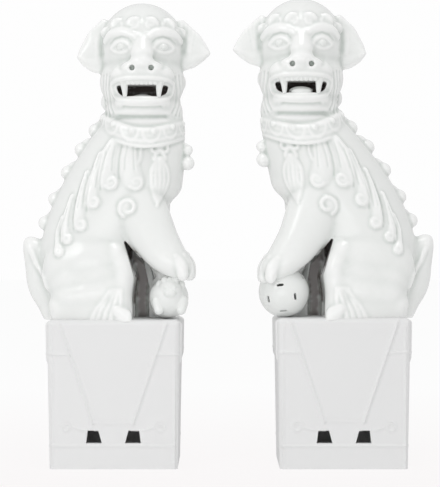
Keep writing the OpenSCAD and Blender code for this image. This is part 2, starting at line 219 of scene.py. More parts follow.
def fused(mesh, voxel, cutter=None):
    """One skin round all the pellets of a mesh, less a cutter's."""
    obj = new_object("clay", mesh)
    remesh(obj, voxel)
    tool = None
    if cutter is not None:
        tool = new_object("cutter", cutter)
        remesh(tool, CUTTER_SCALE * voxel)
        cut = obj.modifiers.new("cut", "BOOLEAN")
        cut.operation = "DIFFERENCE"
        cut.solver = "MANIFOLD"
        cut.object = tool
        remesh(obj, voxel)
    out = evaluated(obj)
    bpy.data.objects.remove(obj)
    if tool is not None:
        bpy.data.objects.remove(tool)
    return out


def triangles_of(mesh):
    """A mesh's corners and triangles as arrays."""
    mesh.calc_loop_triangles()
    co = np.empty(3 * len(mesh.vertices))
    mesh.vertices.foreach_get("co", co)
    triangles = np.empty(3 * len(mesh.loop_triangles), int)
    mesh.loop_triangles.foreach_get("vertices", triangles)
    return co.reshape(-1, 3), triangles.reshape(-1, 3)


SCRATCH_REACH = 3      # widths beside a scratch in which the skin still moves
SCRATCH_TAPER = 2.5    # widths over which the ends of a scratch grow shallow
SCRATCH_END = 0.25     # share of the depth at the very ends
FACING_LEAST = 0.1     # skin that is turned further away than this is left alone
FACING_GAIN = 2.5      # how quickly a scratch grows to its full depth as the skin turns to the tool


class Skin:
    """A fused mesh's vertices and edges as arrays, for smoothing and scratching."""

    def __init__(self, mesh):
        self.mesh = mesh
        n = len(mesh.vertices)
        self.co = np.empty(3 * n)
        mesh.vertices.foreach_get("co", self.co)
        self.co = self.co.reshape(-1, 3)
        ends = np.empty(2 * len(mesh.edges), int)
        mesh.edges.foreach_get("vertices", ends)
        self.a, self.b = ends.reshape(-1, 2).T
        self.degree = np.bincount(self.a, minlength=n) + np.bincount(self.b, minlength=n)

    def mean(self, values):
        """Each vertex's mean over its neighbours."""
        n = len(self.degree)
        total = np.bincount(self.a, values[self.b], n) + np.bincount(self.b, values[self.a], n)
        return total / np.maximum(self.degree, 1)

    def soften(self, rounds, weight=0.5):
        for _ in range(rounds):
            for axis in range(3):
                self.co[:, axis] += weight * (self.mean(self.co[:, axis]) - self.co[:, axis])

    def store(self):
        self.mesh.vertices.foreach_set("co", self.co.ravel())
        self.mesh.update()

    def normals(self):
        self.store()
        no = np.empty(3 * len(self.co))
        self.mesh.vertex_normals.foreach_get("vector", no)
        return no.reshape(-1, 3)

    def scratch(self, line, width, depth, side=-1):
        """Presses a line of (x, z) points into the skin that faces one side; a negative depth raises it."""
        no = self.normals_now
        line = np.array(line, float)
        low = line.min(0) - SCRATCH_REACH * width
        high = line.max(0) + SCRATCH_REACH * width
        x, z = self.co[:, 0], self.co[:, 2]
        near = (x > low[0]) & (x < high[0]) & (z > low[1]) & (z < high[1])
        pick = np.flatnonzero(near & (side * no[:, 1] > FACING_LEAST))
        p = self.co[pick][:, [0, 2]]
        nearest = np.full(len(pick), np.inf)
        for start, end in zip(line, line[1:]):
            run = end - start
            t = np.clip((p - start) @ run / (run @ run), 0, 1)
            nearest = np.minimum(nearest, np.linalg.norm(p - start - t[:, None] * run, axis=1))
        ends = np.minimum(np.linalg.norm(p - line[0], axis=1), np.linalg.norm(p - line[-1], axis=1))
        fade = np.clip(ends / (SCRATCH_TAPER * width), SCRATCH_END, 1)
        facing = np.clip(side * no[pick, 1] * FACING_GAIN, 0, 1)
        push = depth * fade * facing * np.exp(-(nearest / width) ** 2)
        self.co[pick] -= push[:, None] * no[pick]


print("voxels of", VOXEL, "mm")

# %% [markdown]
# ## Laying clay
#
# A potter makes the big forms first and smooths them, so that limbs grow out of the body, and then lays
# the sprigs on. Here the big forms are fused and softened a lot, and each sprig is laid on that form,
# with a ray to find the skin under each of its points. Shrinkwrap would find the skin too, but a ray also
# tells the near side from the far one. Sprigs are softened only a little, so they stay crisp.

# %% The clay
BASE_VOXEL = 1.4
BASE_ROUNDS = 14
SMALL_PELLET = 3.5
LARGE_PELLET = 12
RAY_START = 300
CURL_STEPS = 12


class Clay:
    """Ellipsoids of clay, each with the number of its piece."""

    def __init__(self):
        self.runs = []
        self.settled = 0
        self.ground = (np.zeros((0, 3)), np.zeros((0, 3), int))
        self.tree = None

    def add(self, piece, *swellings):
        """Lays one run of swellings (x, y, z, half width, half depth, half height)."""
        self.runs.append((piece, smooth_run(swellings)))

    def solids(self, first=0):
        """Corners and triangles of the pellets from one run on, and the piece's number for each triangle."""
        corners, triangles, owner = [], [], []
        count = 0
        for piece, run in self.runs[first:]:
            number = piece if isinstance(piece, int) else PIECES.index(piece)
            for pellet in run:
                size = pellet[3:].max()
                ball, sides = unit_ball(2 if size < SMALL_PELLET else 3 if size < LARGE_PELLET else 4)
                corners.append(ball * pellet[3:] + pellet[:3])
                triangles.append(sides + count)
                owner.append(np.full(len(sides), number))
                count += len(ball)
        return np.vstack(corners), np.vstack(triangles), np.concatenate(owner)

    def settle(self):
        """Fuses and softens the pellets so far into the form that later sprigs are laid on."""
        skin = Skin(fused(mesh_of(*self.solids()[:2]), BASE_VOXEL))
        skin.soften(BASE_ROUNDS)
        skin.store()
        self.ground = triangles_of(skin.mesh)
        self.tree = BVHTree.FromPolygons(self.ground[0].tolist(), self.ground[1].tolist())
        self.settled = len(self.runs)

    def skin(self, x, z, side=-1):
        """The point of the near skin (side -1) or the far skin (side 1) at x and z, or the nearest to it."""
        hit = self.tree.ray_cast(Vector((x, RAY_START * side, z)), Vector((0, -side, 0)))[0]
        return self.tree.find_nearest(Vector((x, 0, z)))[0] if hit is None else hit

    def strand(self, piece, line, r, proud, side=-1, flat=1.0):
        """Lays a rope of clay on the skin along points (x, z), all of radius r, or (x, z, radius)."""
        flat_line = []
        for p in line:
            radius = p[2] if len(p) > 2 else r
            flat_line.append((p[0], 0, p[1], radius, radius * flat, radius))
        run = smooth_run(flat_line)
        run[:, :3] = [self.skin(p[0], p[2], side) for p in run]
        run[:, 1] += side * (proud - run[:, 4])
        self.runs.append((piece, run))

    def mesh(self):
        """The settled form and every pellet laid since, as one mesh."""
        co, sides = self.ground
        corners, triangles = self.solids(self.settled)[:2]
        return mesh_of(np.vstack([co, corners]), np.vstack([sides, triangles + len(co)]))


def curl(x, z, r_out, r_in, turns, start, way):
    """Points (x, z) of a spiral that winds inwards."""
    n = math.ceil(CURL_STEPS * turns)
    line = []
    for i in range(n + 1):
        a = math.radians(start) + way * 2 * math.pi * turns * i / n
        r = r_out + (r_in - r_out) * i / n
        line.append((x + r * math.cos(a), z + r * math.sin(a)))
    return line


print("big forms are fused at", BASE_VOXEL, "mm")

# %% [markdown]
# ## The body
#
# The torso rises from the haunches to the neck in one leaning sweep, and its lower part is open between
# the near legs, where the photograph looks into the dark hollow of the casting. The far flank closes the
# space behind the forelegs. One swelling is x, y and z and then half its width, depth and height. A skin
# modifier on a few edges could make limbs as well, but its joints are boxy, and clay wants soft ones.

# %% Torso, limbs and tail
TRUNK = [(-22, 2, -6, 34, 28, 14), (-24, 2, 25, 39, 31, 24), (-22, 2, 58, 45, 33, 24),
         (-13, 2, 84, 49, 33, 22), (0, 2, 110, 51, 33, 22), (10, 1, 133, 48, 32, 20),
         (17, 0, 153, 42, 31, 16), (24, 0, 172, 35, 30, 14)]
BREAST = [(35, 0, 148, 26, 27, 20), (28, 0, 118, 30, 28, 20)]
FLANK = [(2, 19, 34, 22, 13, 38), (26, 21, 42, 13, 10, 44)]
APRON = [(2, 19, 6, 20, 12, 12), (30, 20, 7, 13, 10, 12)]
NEAR_FORELEG = [(18, -12, 108, 22, 18, 20), (24, -17, 89, 24, 17, 19), (36, -21, 67, 20, 16, 18),
                (47, -25, 52, 17, 15, 14), (55.5, -25, 46, 12.5, 14.5, 12.5)]
NEAR_TOES = [[(51, -34, 54, 6, 5, 6), (57, -36, 46, 6, 5.2, 6.5), (59, -36, 39, 5.2, 5, 6)],
             [(55, -28, 56, 6, 5, 6), (62, -28, 47, 6, 5.2, 6.5), (64, -28, 39, 5.2, 5, 6)],
             [(56, -20, 56, 6, 5, 6), (63.5, -20, 47, 6, 5.2, 6.5), (65, -20, 39, 5.2, 5, 6)],
             [(54, -12, 54, 6, 5, 6), (61, -12, 46, 6, 5.2, 6.5), (63, -12, 39, 5.2, 5, 6)]]
FAR_FORELEG = [(28, 14, 104, 19, 16, 20), (33, 18, 82, 13, 14, 16), (37, 19, 52, 11.5, 12, 16),
               (40, 19, 24, 11, 11.5, 14), (42, 18, 9, 12, 13, 9), (46, 17, 5, 9, 12, 6)]
THIGH = [(-34, -13, 42, 30, 20, 33), (-19, -18, 48, 26, 18, 28), (-6, -20, 50, 15, 15, 20)]
HOCK = [(-34, -18, 21, 22, 19, 20), (-15, -21.5, 23, 20, 18, 20), (-1, -24, 28, 14, 14.5, 18)]
FOLD = [(-34, -15.5, 32, 25, 20, 24), (-17, -19.8, 36, 22, 17.6, 22), (-3, -22, 39, 14, 14.8, 17)]
SHANK = [(0, -22, 56, 10, 13, 12), (6.5, -25, 40, 10.5, 13, 14), (4.5, -27, 22, 11, 12.5, 12),
         (4, -28, 10, 12, 12, 10)]
FOOT = [(-46, -20, 12, 12, 13, 13), (-26, -23, 12, 16, 13.5, 13), (-4, -27, 10, 14, 12, 11),
        (10, -29, 5, 8, 11, 6.5)]
TAIL = [(-56, 3, 12, 13, 14, 12), (-63, 3, 30, 16, 13, 18), (-69, 3, 48, 12.5, 11, 15),
        (-73.5, 3, 61, 9.8, 9.5, 10), (-77.5, 3, 67, 5.6, 6, 5)]
TOE_ROOT = (9, 4.6, 3.6, 4.4)
TOE_TIP = (5, 4.4, 3.6, 4.6)
TOE_INSET = 1.6
TOE_REACH = 8
FAR_FOOT = (51, 17, 6.2)
HIND_FOOT = (14, -29, 6)
KNUCKLES = [(52, -34.5, 53.5, 5), (58, -31, 54, 4.6), (61, -23.5, 54, 4.6), (60, -15, 53.5, 4.6)]


def toes(clay, piece, x, y, spread):
    """Four knuckled toes at the end of a foot that lies along x."""
    for i in (-1.5, -0.5, 0.5, 1.5):
        inset = TOE_INSET * abs(i)
        root = (x - TOE_REACH - inset, y + spread * i, *TOE_ROOT)
        clay.add(piece, root, (x - inset, y + spread * i, *TOE_TIP))


def body(clay):
    clay.add("torso", *TRUNK)
    clay.add("torso", *BREAST)
    clay.add("torso", *FLANK)
    clay.add("torso", *APRON)
    clay.add("near_foreleg", *NEAR_FORELEG)
    clay.add("far_foreleg", *FAR_FORELEG)
    for piece, turn in (("near_hind_leg", list), ("far_hind_leg", far)):
        for part in (THIGH, FOLD, HOCK, SHANK, FOOT):
            clay.add(piece, *turn(part))
    clay.add("tail", *TAIL)


def paws(clay):
    for line in NEAR_TOES:
        clay.add("near_foreleg", *line)
    for x, y, z, r in KNUCKLES:
        clay.add("near_foreleg", (x, y, z, r, r, r))
    x, y, spread = HIND_FOOT
    toes(clay, "far_foreleg", *FAR_FOOT)
    toes(clay, "near_hind_leg", x, y, spread)
    toes(clay, "far_hind_leg", x, SIDE_MIRROR - y, spread)


print("the body has", len(TRUNK), "swellings and the tail", len(TAIL))

# %% [markdown]
# ## The head
#
# The head is turned to the viewer. A round skull, full cheeks and a short neck make its mass. The muzzle,
# the lower jaw and the nose are pressed on in front. The ears are flaps: rows of pellets between an upper
# and a lower edge, cupped a little towards the viewer. A bent plane with thickness would do as well, but
# pellets fuse with the skull.

# %% Skull, muzzle and ears
FACE_X = 24.0
SKULL = (22.5, 3, 237, 38, 37, 40)
CHEEKS = (22.5, -1, 207, 37.5, 35, 30)
NECK = (24, -1, 180, 34.5, 31, 24)
MUZZLE = (FACE_X, -25.5, 210, 28, 17, 13.5)
JAW = (FACE_X, -22.5, 187, 25, 16, 10)
EYE_DX = 17.7
EYE_Z = 234.5
EYE_R = 4.6
NOSE = [(0, -37, 220, 11, 9, 7.5)]
BRIDGE = [(0, -35, 228, 10.5, 8, 7), (0, -31, 238, 8, 6, 8)]
WING = (11, -35.5, 216.3, 7, 7, 4.8)
NOSTRIL = (8.1, 215)
EAR = {"back_ear": {"top": [(-11, 259), (-22.5, 248.7), (-30, 235.1), (-32.2, 228.3)],
                    "low": [(-10, 217), (-20, 218.3), (-27.6, 222.8), (-32.2, 228.3)]},
       "chest_ear": {"top": [(57, 258.5), (71, 246.6), (77, 237.8), (80.2, 231.8)],
                     "low": [(57, 220), (66.5, 222), (74.4, 226.9), (80.2, 231.8)]}}
EAR_STEPS = 14
EAR_ACROSS = 5
EAR_Y = -3.0
EAR_FORWARD = 2.0
EAR_CUP = 3.0
EAR_THICK = (3.6, 1.2)


def both(dx):
    return (FACE_X - dx, FACE_X + dx)


def head(clay):
    for form in (SKULL, CHEEKS, NECK, MUZZLE, JAW):
        clay.add("head", form)
    clay.add("head", *[(FACE_X + p[0], *p[1:]) for p in BRIDGE])
    clay.add("head", *[(FACE_X + p[0], *p[1:]) for p in NOSE])
    for x in both(WING[0]):
        clay.add("head", (x, *WING[1:]))


def along(points, t):
    """The place a share t of the way along a line of points."""
    at = np.linspace(0, 1, len(points))
    return np.array([np.interp(t, at, [p[i] for p in points]) for i in range(len(points[0]))])


def ear(clay, piece):
    """A cupped flap that grows thinner and comes forward towards its tip."""
    spec = EAR[piece]
    for t in np.linspace(0, 1, EAR_STEPS):
        line = []
        for u in np.linspace(0, 1, EAR_ACROSS):
            x, z = along(spec["top"], t) * (1 - u) + along(spec["low"], t) * u
            bulge = 1 - abs(2 * u - 1) ** 2
            r = EAR_THICK[0] - EAR_THICK[1] * t
            y = EAR_Y - EAR_FORWARD * t - EAR_CUP * bulge * (1 - 0.5 * t)
            line.append((x, y, z, r, r, r))
        clay.add(piece, *line)


print("the head is", 2 * SKULL[3], "mm wide")

# %% [markdown]
# ## Brows, lids, lips and curls
#
# On the real lion these are rolled ropes of clay, pressed on with a finger. Each is drawn here as a line
# on one half of the face and laid on the skin of both halves. A curl on the forehead is a flat button
# with a spiral rope on it.

# %% Lines of the face
BROW_LINE = [(5, 242.5, 3.6), (11, 245.5, 4.8), (18, 247, 5.4), (26, 245.5, 5), (32, 241, 3.4)]
BROW_PROUD = 0.8
BROW_FLAT = 0.5


def mirrored(line):
    """A line of (offset, z, ...) drawn on both sides of the middle of the face."""
    for s in (-1, 1):
        yield [(FACE_X + s * p[0], *p[1:]) for p in line]


def on_face(line):
    """A line of (offset, z) drawn right across the face."""
    return [(FACE_X + x, z) for x, z in line]


UPPER_LIP = [(-26.5, 203), (-22, 205.2), (-12, 206.3), (0, 206.6), (12, 206.3), (22, 205.2), (26.5, 203)]
LOWER_LIP = [(-26.5, 202.5), (-25.5, 196), (-21.5, 190), (-12, 187), (0, 186.5), (12, 187), (21.5, 190),
             (25.5, 196), (26.5, 202.5)]
UPPER_LID = [(9.5, 232.6), (13, 237), (17.8, 239), (22.5, 237.8), (27, 233.6)]
LOWER_LID = [(9.5, 232.4), (13.5, 230.4), (18.2, 229.6), (23, 230.6), (27, 233.2)]
LID_FOLD = [(8, 236.5), (12, 241), (17.8, 243), (24, 241.5), (29.5, 236.5)]
FOREHEAD = [(7.2, 254, 7.4), (21, 253.5, 7.6), (31.5, 248.5, 6)]
# Radius of each rope, and how far it stands proud
UPPER_LID_ROPE = (1.4, 1.0)
LOWER_LID_ROPE = (1.3, 0.8)
UPPER_LIP_ROPE = (2.0, 1.3)
LOWER_LIP_ROPE = (1.7, 0.9)
FOREHEAD_ROPE = (1.5, 0.7)
BUTTON_PROUD = 0.35
BUTTON_FLAT = 0.35
# A curl's share of its button, and its inner radius, turns and first angle
FOREHEAD_SHARE = 0.6
FOREHEAD_CURL = (1.2, 1.2, 250)


def features(clay):
    for line in mirrored(BROW_LINE):
        clay.strand("head", line, None, BROW_PROUD, flat=BROW_FLAT)
    for line in mirrored(UPPER_LID):
        clay.strand("head", line, *UPPER_LID_ROPE)
    for line in mirrored(LOWER_LID):
        clay.strand("head", line, *LOWER_LID_ROPE)
    clay.strand("head", on_face(UPPER_LIP), *UPPER_LIP_ROPE)
    clay.strand("head", on_face(LOWER_LIP), *LOWER_LIP_ROPE)
    for dx, z, r in FOREHEAD:
        for x in both(dx):
            clay.strand("brow_curls", [(x, z)], r, BUTTON_PROUD, flat=BUTTON_FLAT)
            way = 1 if x < FACE_X else -1
            spiral = curl(x, z, FOREHEAD_SHARE * r, *FOREHEAD_CURL, way)
            clay.strand("brow_curls", spiral, *FOREHEAD_ROPE)


print("the eyes stand", 2 * EYE_DX, "mm apart")

# %% [markdown]
# ## The sprigs
#
# Knobs along the spine, locks of mane that end in curls, and two bells are pressed in small moulds and
# stuck on. A lock is a flat rope that swells towards its end, with a thin spiral rope on that. Curves
# with a bevel could make ropes too, but they would not follow the skin. The locks are on both flanks, so
# each is laid once on the near skin and once on the far skin.

# %% Knobs, locks and bells
BOSSES = [(-18, 164.6), (-30.4, 147.8), (-42.4, 127.6), (-53.6, 104.2), (-62.2, 83.4)]
BOSS = (7.2, 6.8, 6.6)
BOSS_ROOT = (5.6, 5.6, 5.4)
BOSS_ROOT_AT = (5.2, 4.8)
LOCKS = [{"line": [(-1, 151, 5), (-5, 138, 8.6), (-6.2, 126, 9.8), (-5.4, 118.5, 9.4)],
          "curl": (-2.6, 118, 5.4)},
         {"line": [(14, 150, 6), (13, 138, 9.2), (13, 127, 10.8), (14.8, 119.5, 11.4)],
          "curl": (18.8, 118, 6)},
         {"line": [(-12, 142, 3), (-16, 126, 4.6), (-19, 112, 5.6), (-18.3, 100.5, 7.4)],
          "curl": (-17.6, 101.3, 4.6)},
         {"line": [(-24, 126, 2.6), (-28, 108, 4), (-30, 94, 5), (-29.2, 81.5, 6.6)],
          "curl": (-28.6, 81.6, 4.2)},
         {"line": [(-37, 106, 2.4), (-41, 90, 3.6), (-42, 78, 4.4), (-41, 69.5, 5.6)],
          "curl": (-40.6, 69.6, 3.4)},
         {"line": [(-45, 88, 2.2), (-48.6, 76, 3), (-48.5, 64, 3.6), (-47.8, 58, 4.6)],
          "curl": (-47.4, 58.2, 2.8)}]
LOCK_PROUD = 2.0
LOCK_FLAT = 0.45
LOCK_ROPE = (1.8, 2.5)
# Inner radius, turns, first angle and way of winding
LOCK_CURL = (1.2, 1.35, 215, 1)
SHOULDER = (12, 96, 10)
SHOULDER_PROUD = 2.0
SHOULDER_FLAT = 0.5
SHOULDER_ROPE = (1.6, 2.6)
SHOULDER_CURL = (2, 1.3, 240, -1)
BELLS = [(62.5, -7, 147, 4.8), (62.5, -7, 135.5, 6.2)]
BELL_EYE = 2


def lock(clay, piece, spec, side):
    clay.strand(piece, spec["line"], None, LOCK_PROUD, side, LOCK_FLAT)
    clay.strand(piece, curl(*spec["curl"], *LOCK_CURL), *LOCK_ROPE, side)


print(len(LOCKS), "locks on each flank")

# %% [markdown]
# ## The collar
#
# The ruff is a band round the neck with a cord along its lower edge, and every petal is a raised rim with
# a bead in it. The collar sags to the front and tilts towards the chest, so one function gives its points
# from the angle round the neck. A spun profile would be quicker, but it could not sag.

# %% Band, cord and petals
COLLAR_MID = (22.5, 0.0)
COLLAR_REACH = (35.5, 33.5)
COLLAR_LOW = 148.8
COLLAR_SAG = 11.9
COLLAR_TILT = 2.9
COLLAR_STEP = 12
BAND_LIFTS = (4.5, 8.5, 12.5)
BAND_OUT = (-1.2, -0.1)
BAND = (4, 4, 4)
CORD_OUT = 0.2
CORD = (2.3, 2.3, 2.1)
PETALS = 12
PETAL_HALF = 12.2
PETAL_TOP = 12.5
PETAL_DROP = 9
PETAL_OUT = (1.6, -0.09)
PETAL_RIM = (1.5, 1.5, 1.5)
BEAD_AT = (4, 12.5, 0.4)
BEAD = (3.1, 3.1, 3.1)


def collar_at(turn, lift=0.0, out=0.0):
    """A point of the collar from the angle round the neck, 0 towards the chest and -90 towards the viewer."""
    a = math.radians(turn)
    z = COLLAR_LOW + COLLAR_SAG * math.cos(a) ** 2 - COLLAR_TILT * math.cos(a)
    x = COLLAR_MID[0] + (COLLAR_REACH[0] + out) * math.cos(a)
    y = COLLAR_MID[1] + (COLLAR_REACH[1] + out) * math.sin(a)
    return (x, y, z + lift)


def collar(clay):
    turns = range(0, 361, COLLAR_STEP)
    for lift in BAND_LIFTS:
        out = BAND_OUT[0] + BAND_OUT[1] * lift
        clay.add("collar", *[(*collar_at(a, lift, out), *BAND) for a in turns])
    clay.add("collar", *[(*collar_at(a, 0, CORD_OUT), *CORD) for a in turns])
    for i in range(PETALS):
        turn = 360 * (i + 0.5) / PETALS
        rim = []
        for t in range(0, 181, 20):
            da = PETAL_HALF * math.cos(math.radians(t))
            lift = PETAL_TOP - PETAL_DROP * math.sin(math.radians(t))
            out = PETAL_OUT[0] + PETAL_OUT[1] * lift
            rim.append((*collar_at(turn + da, lift, out), *PETAL_RIM))
        clay.add("collar", *rim)
        clay.add("collar", (*collar_at(turn + BEAD_AT[0], *BEAD_AT[1:]), *BEAD))


print(PETALS, "collar petals")

# %% [markdown]
# ## Bow, tassel and nape
#
# A moulded bow holds a fluted tassel on each side of the chest, and a loose ribbon hangs beside it. They
# are all ropes on the skin: five side by side make the flutes of the tassel. Rows of curls cover the back
# of the head.

# %% Tassels, fetlocks and nape
BOW = (39, 146)
BOW_LOOP = (4.4, 1, 2.8)
LOOP_ROPE = (1.2, 1.9)
BOW_END = [(0, -1, 1.3), (4, -5, 1.3), (5, -8, 1.1)]
BOW_END_PROUD = 1.5
KNOT = (2.2, 2.4)
RIBBON = [(-16, 1, 1.1), (-17, -8, 1.3), (-21, -17, 1.2), (-23.5, -21, 1)]
RIBBON_PROUD = 1.3
TASSEL_HALF = 6.6
# Points of a flute: x, share of its offset, z and radius
FLUTE = [(38.5, 0.3, 139, 1.6), (38.5, 1, 128, 2.0), (38.5, 1, 117, 2.0), (37, 0.5, 106, 1.7),
         (37, 0, 98, 1.1)]
FLUTE_PROUD = (1.7, 0.2)


def tassel(clay, piece, side):
    x, z = BOW
    out, up, r = BOW_LOOP
    for s in (-1, 1):
        loop = curl(x + out * s, z + up, r, r, 1, 180 if s > 0 else 0, 1)
        clay.strand(piece, loop, *LOOP_ROPE, side)
        end = [(x + dx * s, z + dz, radius) for dx, dz, radius in BOW_END]
        clay.strand(piece, end, None, BOW_END_PROUD, side)
    clay.strand(piece, [(x, z)], *KNOT, side)
    ribbon = [(x + dx, z + dz, radius) for dx, dz, radius in RIBBON]
    clay.strand(piece, ribbon, None, RIBBON_PROUD, side)
    for i in (-2, -1, 0, 1, 2):
        offset = TASSEL_HALF * i / 2
        line = [(at + share * offset, height, radius) for at, share, height, radius in FLUTE]
        clay.strand(piece, line, None, FLUTE_PROUD[0] - FLUTE_PROUD[1] * abs(i), side)


FETLOCK = [[(-3.5, 25), (-11, 14), (-20, 3)], [(-1, 25.5), (-7.5, 14), (-15, 3)],
           [(1.5, 25.5), (-3, 14), (-9, 3)], [(4, 25.5), (1, 14), (-3, 3)], [(6, 25), (6, 14), (4, 5)]]
FETLOCK_ROPE = (2.0, 0.9)


def sprigs(clay):
    for x, z in BOSSES:
        clay.add("spine_bosses", (x, SIDE_MIRROR / 2, z, *BOSS))
        root = (x + BOSS_ROOT_AT[0], SIDE_MIRROR / 2, z + BOSS_ROOT_AT[1])
        clay.add("spine_bosses", (*root, *BOSS_ROOT))
    for spec in LOCKS:
        lock(clay, "near_mane_locks", spec, -1)
        lock(clay, "far_mane_locks", spec, 1)
    x, z, r = SHOULDER
    clay.strand("near_foreleg", [(x, z)], r, SHOULDER_PROUD, flat=SHOULDER_FLAT)
    spiral = curl(x, z, r - SHOULDER_ROPE[0], *SHOULDER_CURL)
    clay.strand("near_foreleg", spiral, *SHOULDER_ROPE)
    for side, piece in ((-1, "near_hind_leg"), (1, "far_hind_leg")):
        for line in FETLOCK:
            clay.strand(piece, line, *FETLOCK_ROPE, side)
    collar(clay)
    tassel(clay, "near_tassel", -1)
    tassel(clay, "far_tassel", 1)
    for x, y, z, r in BELLS:
        clay.add("bells", (x, y, z, r, r, r))
        clay.add("bells", (x - BELL_EYE, y, z + r, BELL_EYE, BELL_EYE, BELL_EYE))


NAPE_ROWS = [(262, 3, 9), (246, 4, 10), (228, 4, 10.5), (209, 4, 10.5), (191, 4, 10)]
NAPE_PITCH = 17
NAPE_STAGGER = 2
NAPE_PROUD = 3.4
NAPE_FLAT = 0.7
NAPE_ROPE = (2.1, 4.8)
NAPE_SHARE = 0.66
NAPE_CURL = (1.6, 1.4, 90)


def nape(clay):
    for row, (z, n, r) in enumerate(NAPE_ROWS):
        for i in range(n):
            dx = (i - (n - 1) / 2) * NAPE_PITCH + (NAPE_STAGGER if row % 2 else -NAPE_STAGGER)
            x = SKULL[0] + dx
            clay.strand("nape_mane", [(x, z)], r, NAPE_PROUD, 1, NAPE_FLAT)
            spiral = curl(x, z, r * NAPE_SHARE, *NAPE_CURL, 1 if i % 2 else -1)
            clay.strand("nape_mane", spiral, *NAPE_ROPE, 1)


print(sum(row[1] for row in NAPE_ROWS), "curls on the nape")

# %% [markdown]
# ## Cutting
#
# The potter cuts the mouth open and pierces the nostrils, and the casting is hollow: between the near
# legs the photograph looks into the dark belly. One cutter takes all of that away with a single boolean:
# straight blocks for the mouth and the gap, round holes for the nostrils, and pellets for the hollows
# behind them.

# %% The cutter
MOUTH = [(-22.5, 201), (22.5, 201), (20.5, 194.8), (15.5, 191.4), (-15.5, 191.4), (-20.5, 194.8)]
MOUTH_FRONT = -60.0
MOUTH_BACK = -12.0
NOSTRIL_R = 2.5
NOSTRIL_Y = -48
NOSTRIL_DEPTH = 24
HEAD_HOLLOW = [(FACE_X, -8, 198, 22, 14, 9)]
BELLY_GAP = [(2.5, 76), (8, 66), (13.6, 48), (17.5, 34), (15.5, 21), (16, -4), (28, -4), (27, 18), (28, 30),
             (34, 36), (33, 38), (19.4, 54), (11, 65)]
BELLY_DEPTH = (-60.0, 15.0)
BODY_HOLLOW = [(-12, 4, 22, 24, 20, 18), (-8, 4, 60, 26, 20, 26)]


def prism(bm, outline, y0, y1):
    """A straight-sided block with an outline in x and z."""
    ring = [bm.verts.new((x, y0, z)) for x, z in outline]
    face = bm.faces.new(ring)
    grown = bmesh.ops.extrude_face_region(bm, geom=[face])["geom"]
    moved = [v for v in grown if isinstance(v, bmesh.types.BMVert)]
    bmesh.ops.translate(bm, vec=(0, y1 - y0, 0), verts=moved)
    bmesh.ops.recalc_face_normals(bm, faces=bm.faces)


def lion_cutter():
    hollow = Clay()
    for run in (HEAD_HOLLOW, BODY_HOLLOW):
        hollow.add(HOLLOW, *run)
    bm = bmesh.new()
    prism(bm, on_face(MOUTH), MOUTH_FRONT, MOUTH_BACK)
    for x in both(NOSTRIL[0]):
        place = Matrix.Translation((x, NOSTRIL_Y, NOSTRIL[1])) @ Matrix.Rotation(math.radians(90), 4, "X")
        bmesh.ops.create_cone(bm, cap_ends=True, segments=24, radius1=NOSTRIL_R, radius2=NOSTRIL_R,
                              depth=NOSTRIL_DEPTH, matrix=place)
    prism(bm, BELLY_GAP, *BELLY_DEPTH)
    bm.from_mesh(hollow.mesh())
    out = bpy.data.meshes.new("lion_cutter")
    bm.to_mesh(out)
    bm.free()
    return out


print("the mouth is cut from", MOUTH[0][0], "to", MOUTH[1][0], "mm")

# %% [markdown]
# ## Tool marks
#
# Hair, creases and folds are drawn in the leather-hard clay with a blunt tool. Each tool has a width and
# a depth, and a negative depth raises a rib. A bump map would be lighter, but real grooves let the glaze
# pool in them.

# %% Scratches of hair, creases and folds
CHEEK_HAIR = [[(28.5, 212), (30, 198), (28.5, 184), (25, 176)],
              [(31.5, 214), (33, 198), (31.5, 184), (28.5, 174)],
              [(34.5, 214), (35.5, 200), (34, 186), (31.5, 174)]]
CHIN = [(-20, 182.5), (-10, 181.2), (0, 180.8), (10, 181.2), (20, 182.5)]
THROAT = [(-26, 175), (-12, 174), (0, 173.6), (12, 174), (26, 175)]
NOSE_CREASE = [(18.5, 223), (19.2, 216), (16.5, 211)]
BROW_DENT = [(-5, 244.5), (5, 244.5)]
HAUNCH_CREASE = [(-50, 18), (-36, 31), (-19, 44), (-10, 50)]
SHIN_VALLEY = [(2, 54), (-3, 43), (-8, 31)]
TAIL_RIB = [(-76, 62), (-70, 48), (-62, 36), (-57, 22)]
EAR_HOLLOWS = [[(-12.5, 252), (-13.5, 238), (-12, 224)], [(59, 252), (60.5, 240), (59, 226)]]
HAIR_TOOL = (1.1, 0.9)
CHIN_TOOL = (1.5, 1.4)
THROAT_TOOL = (2.2, 2.4)
NOSE_TOOL = (1.8, 0.6)
DENT_TOOL = (5, 1.2)
LID_TOOL = (0.9, 0.5)
EAR_TOOL = (2.6, 1.4)
HAUNCH_TOOL = (8, 0.7)
SHIN_TOOL = (7, 0.8)
RIB_TOOL = (2.0, -1.7)
LOCK_TOOL = (0.9, 0.35)
FLANK_TOOL = (1.0, 0.5)
FLANK_ORDER = (1, 0, 2, 3, 4, 5)


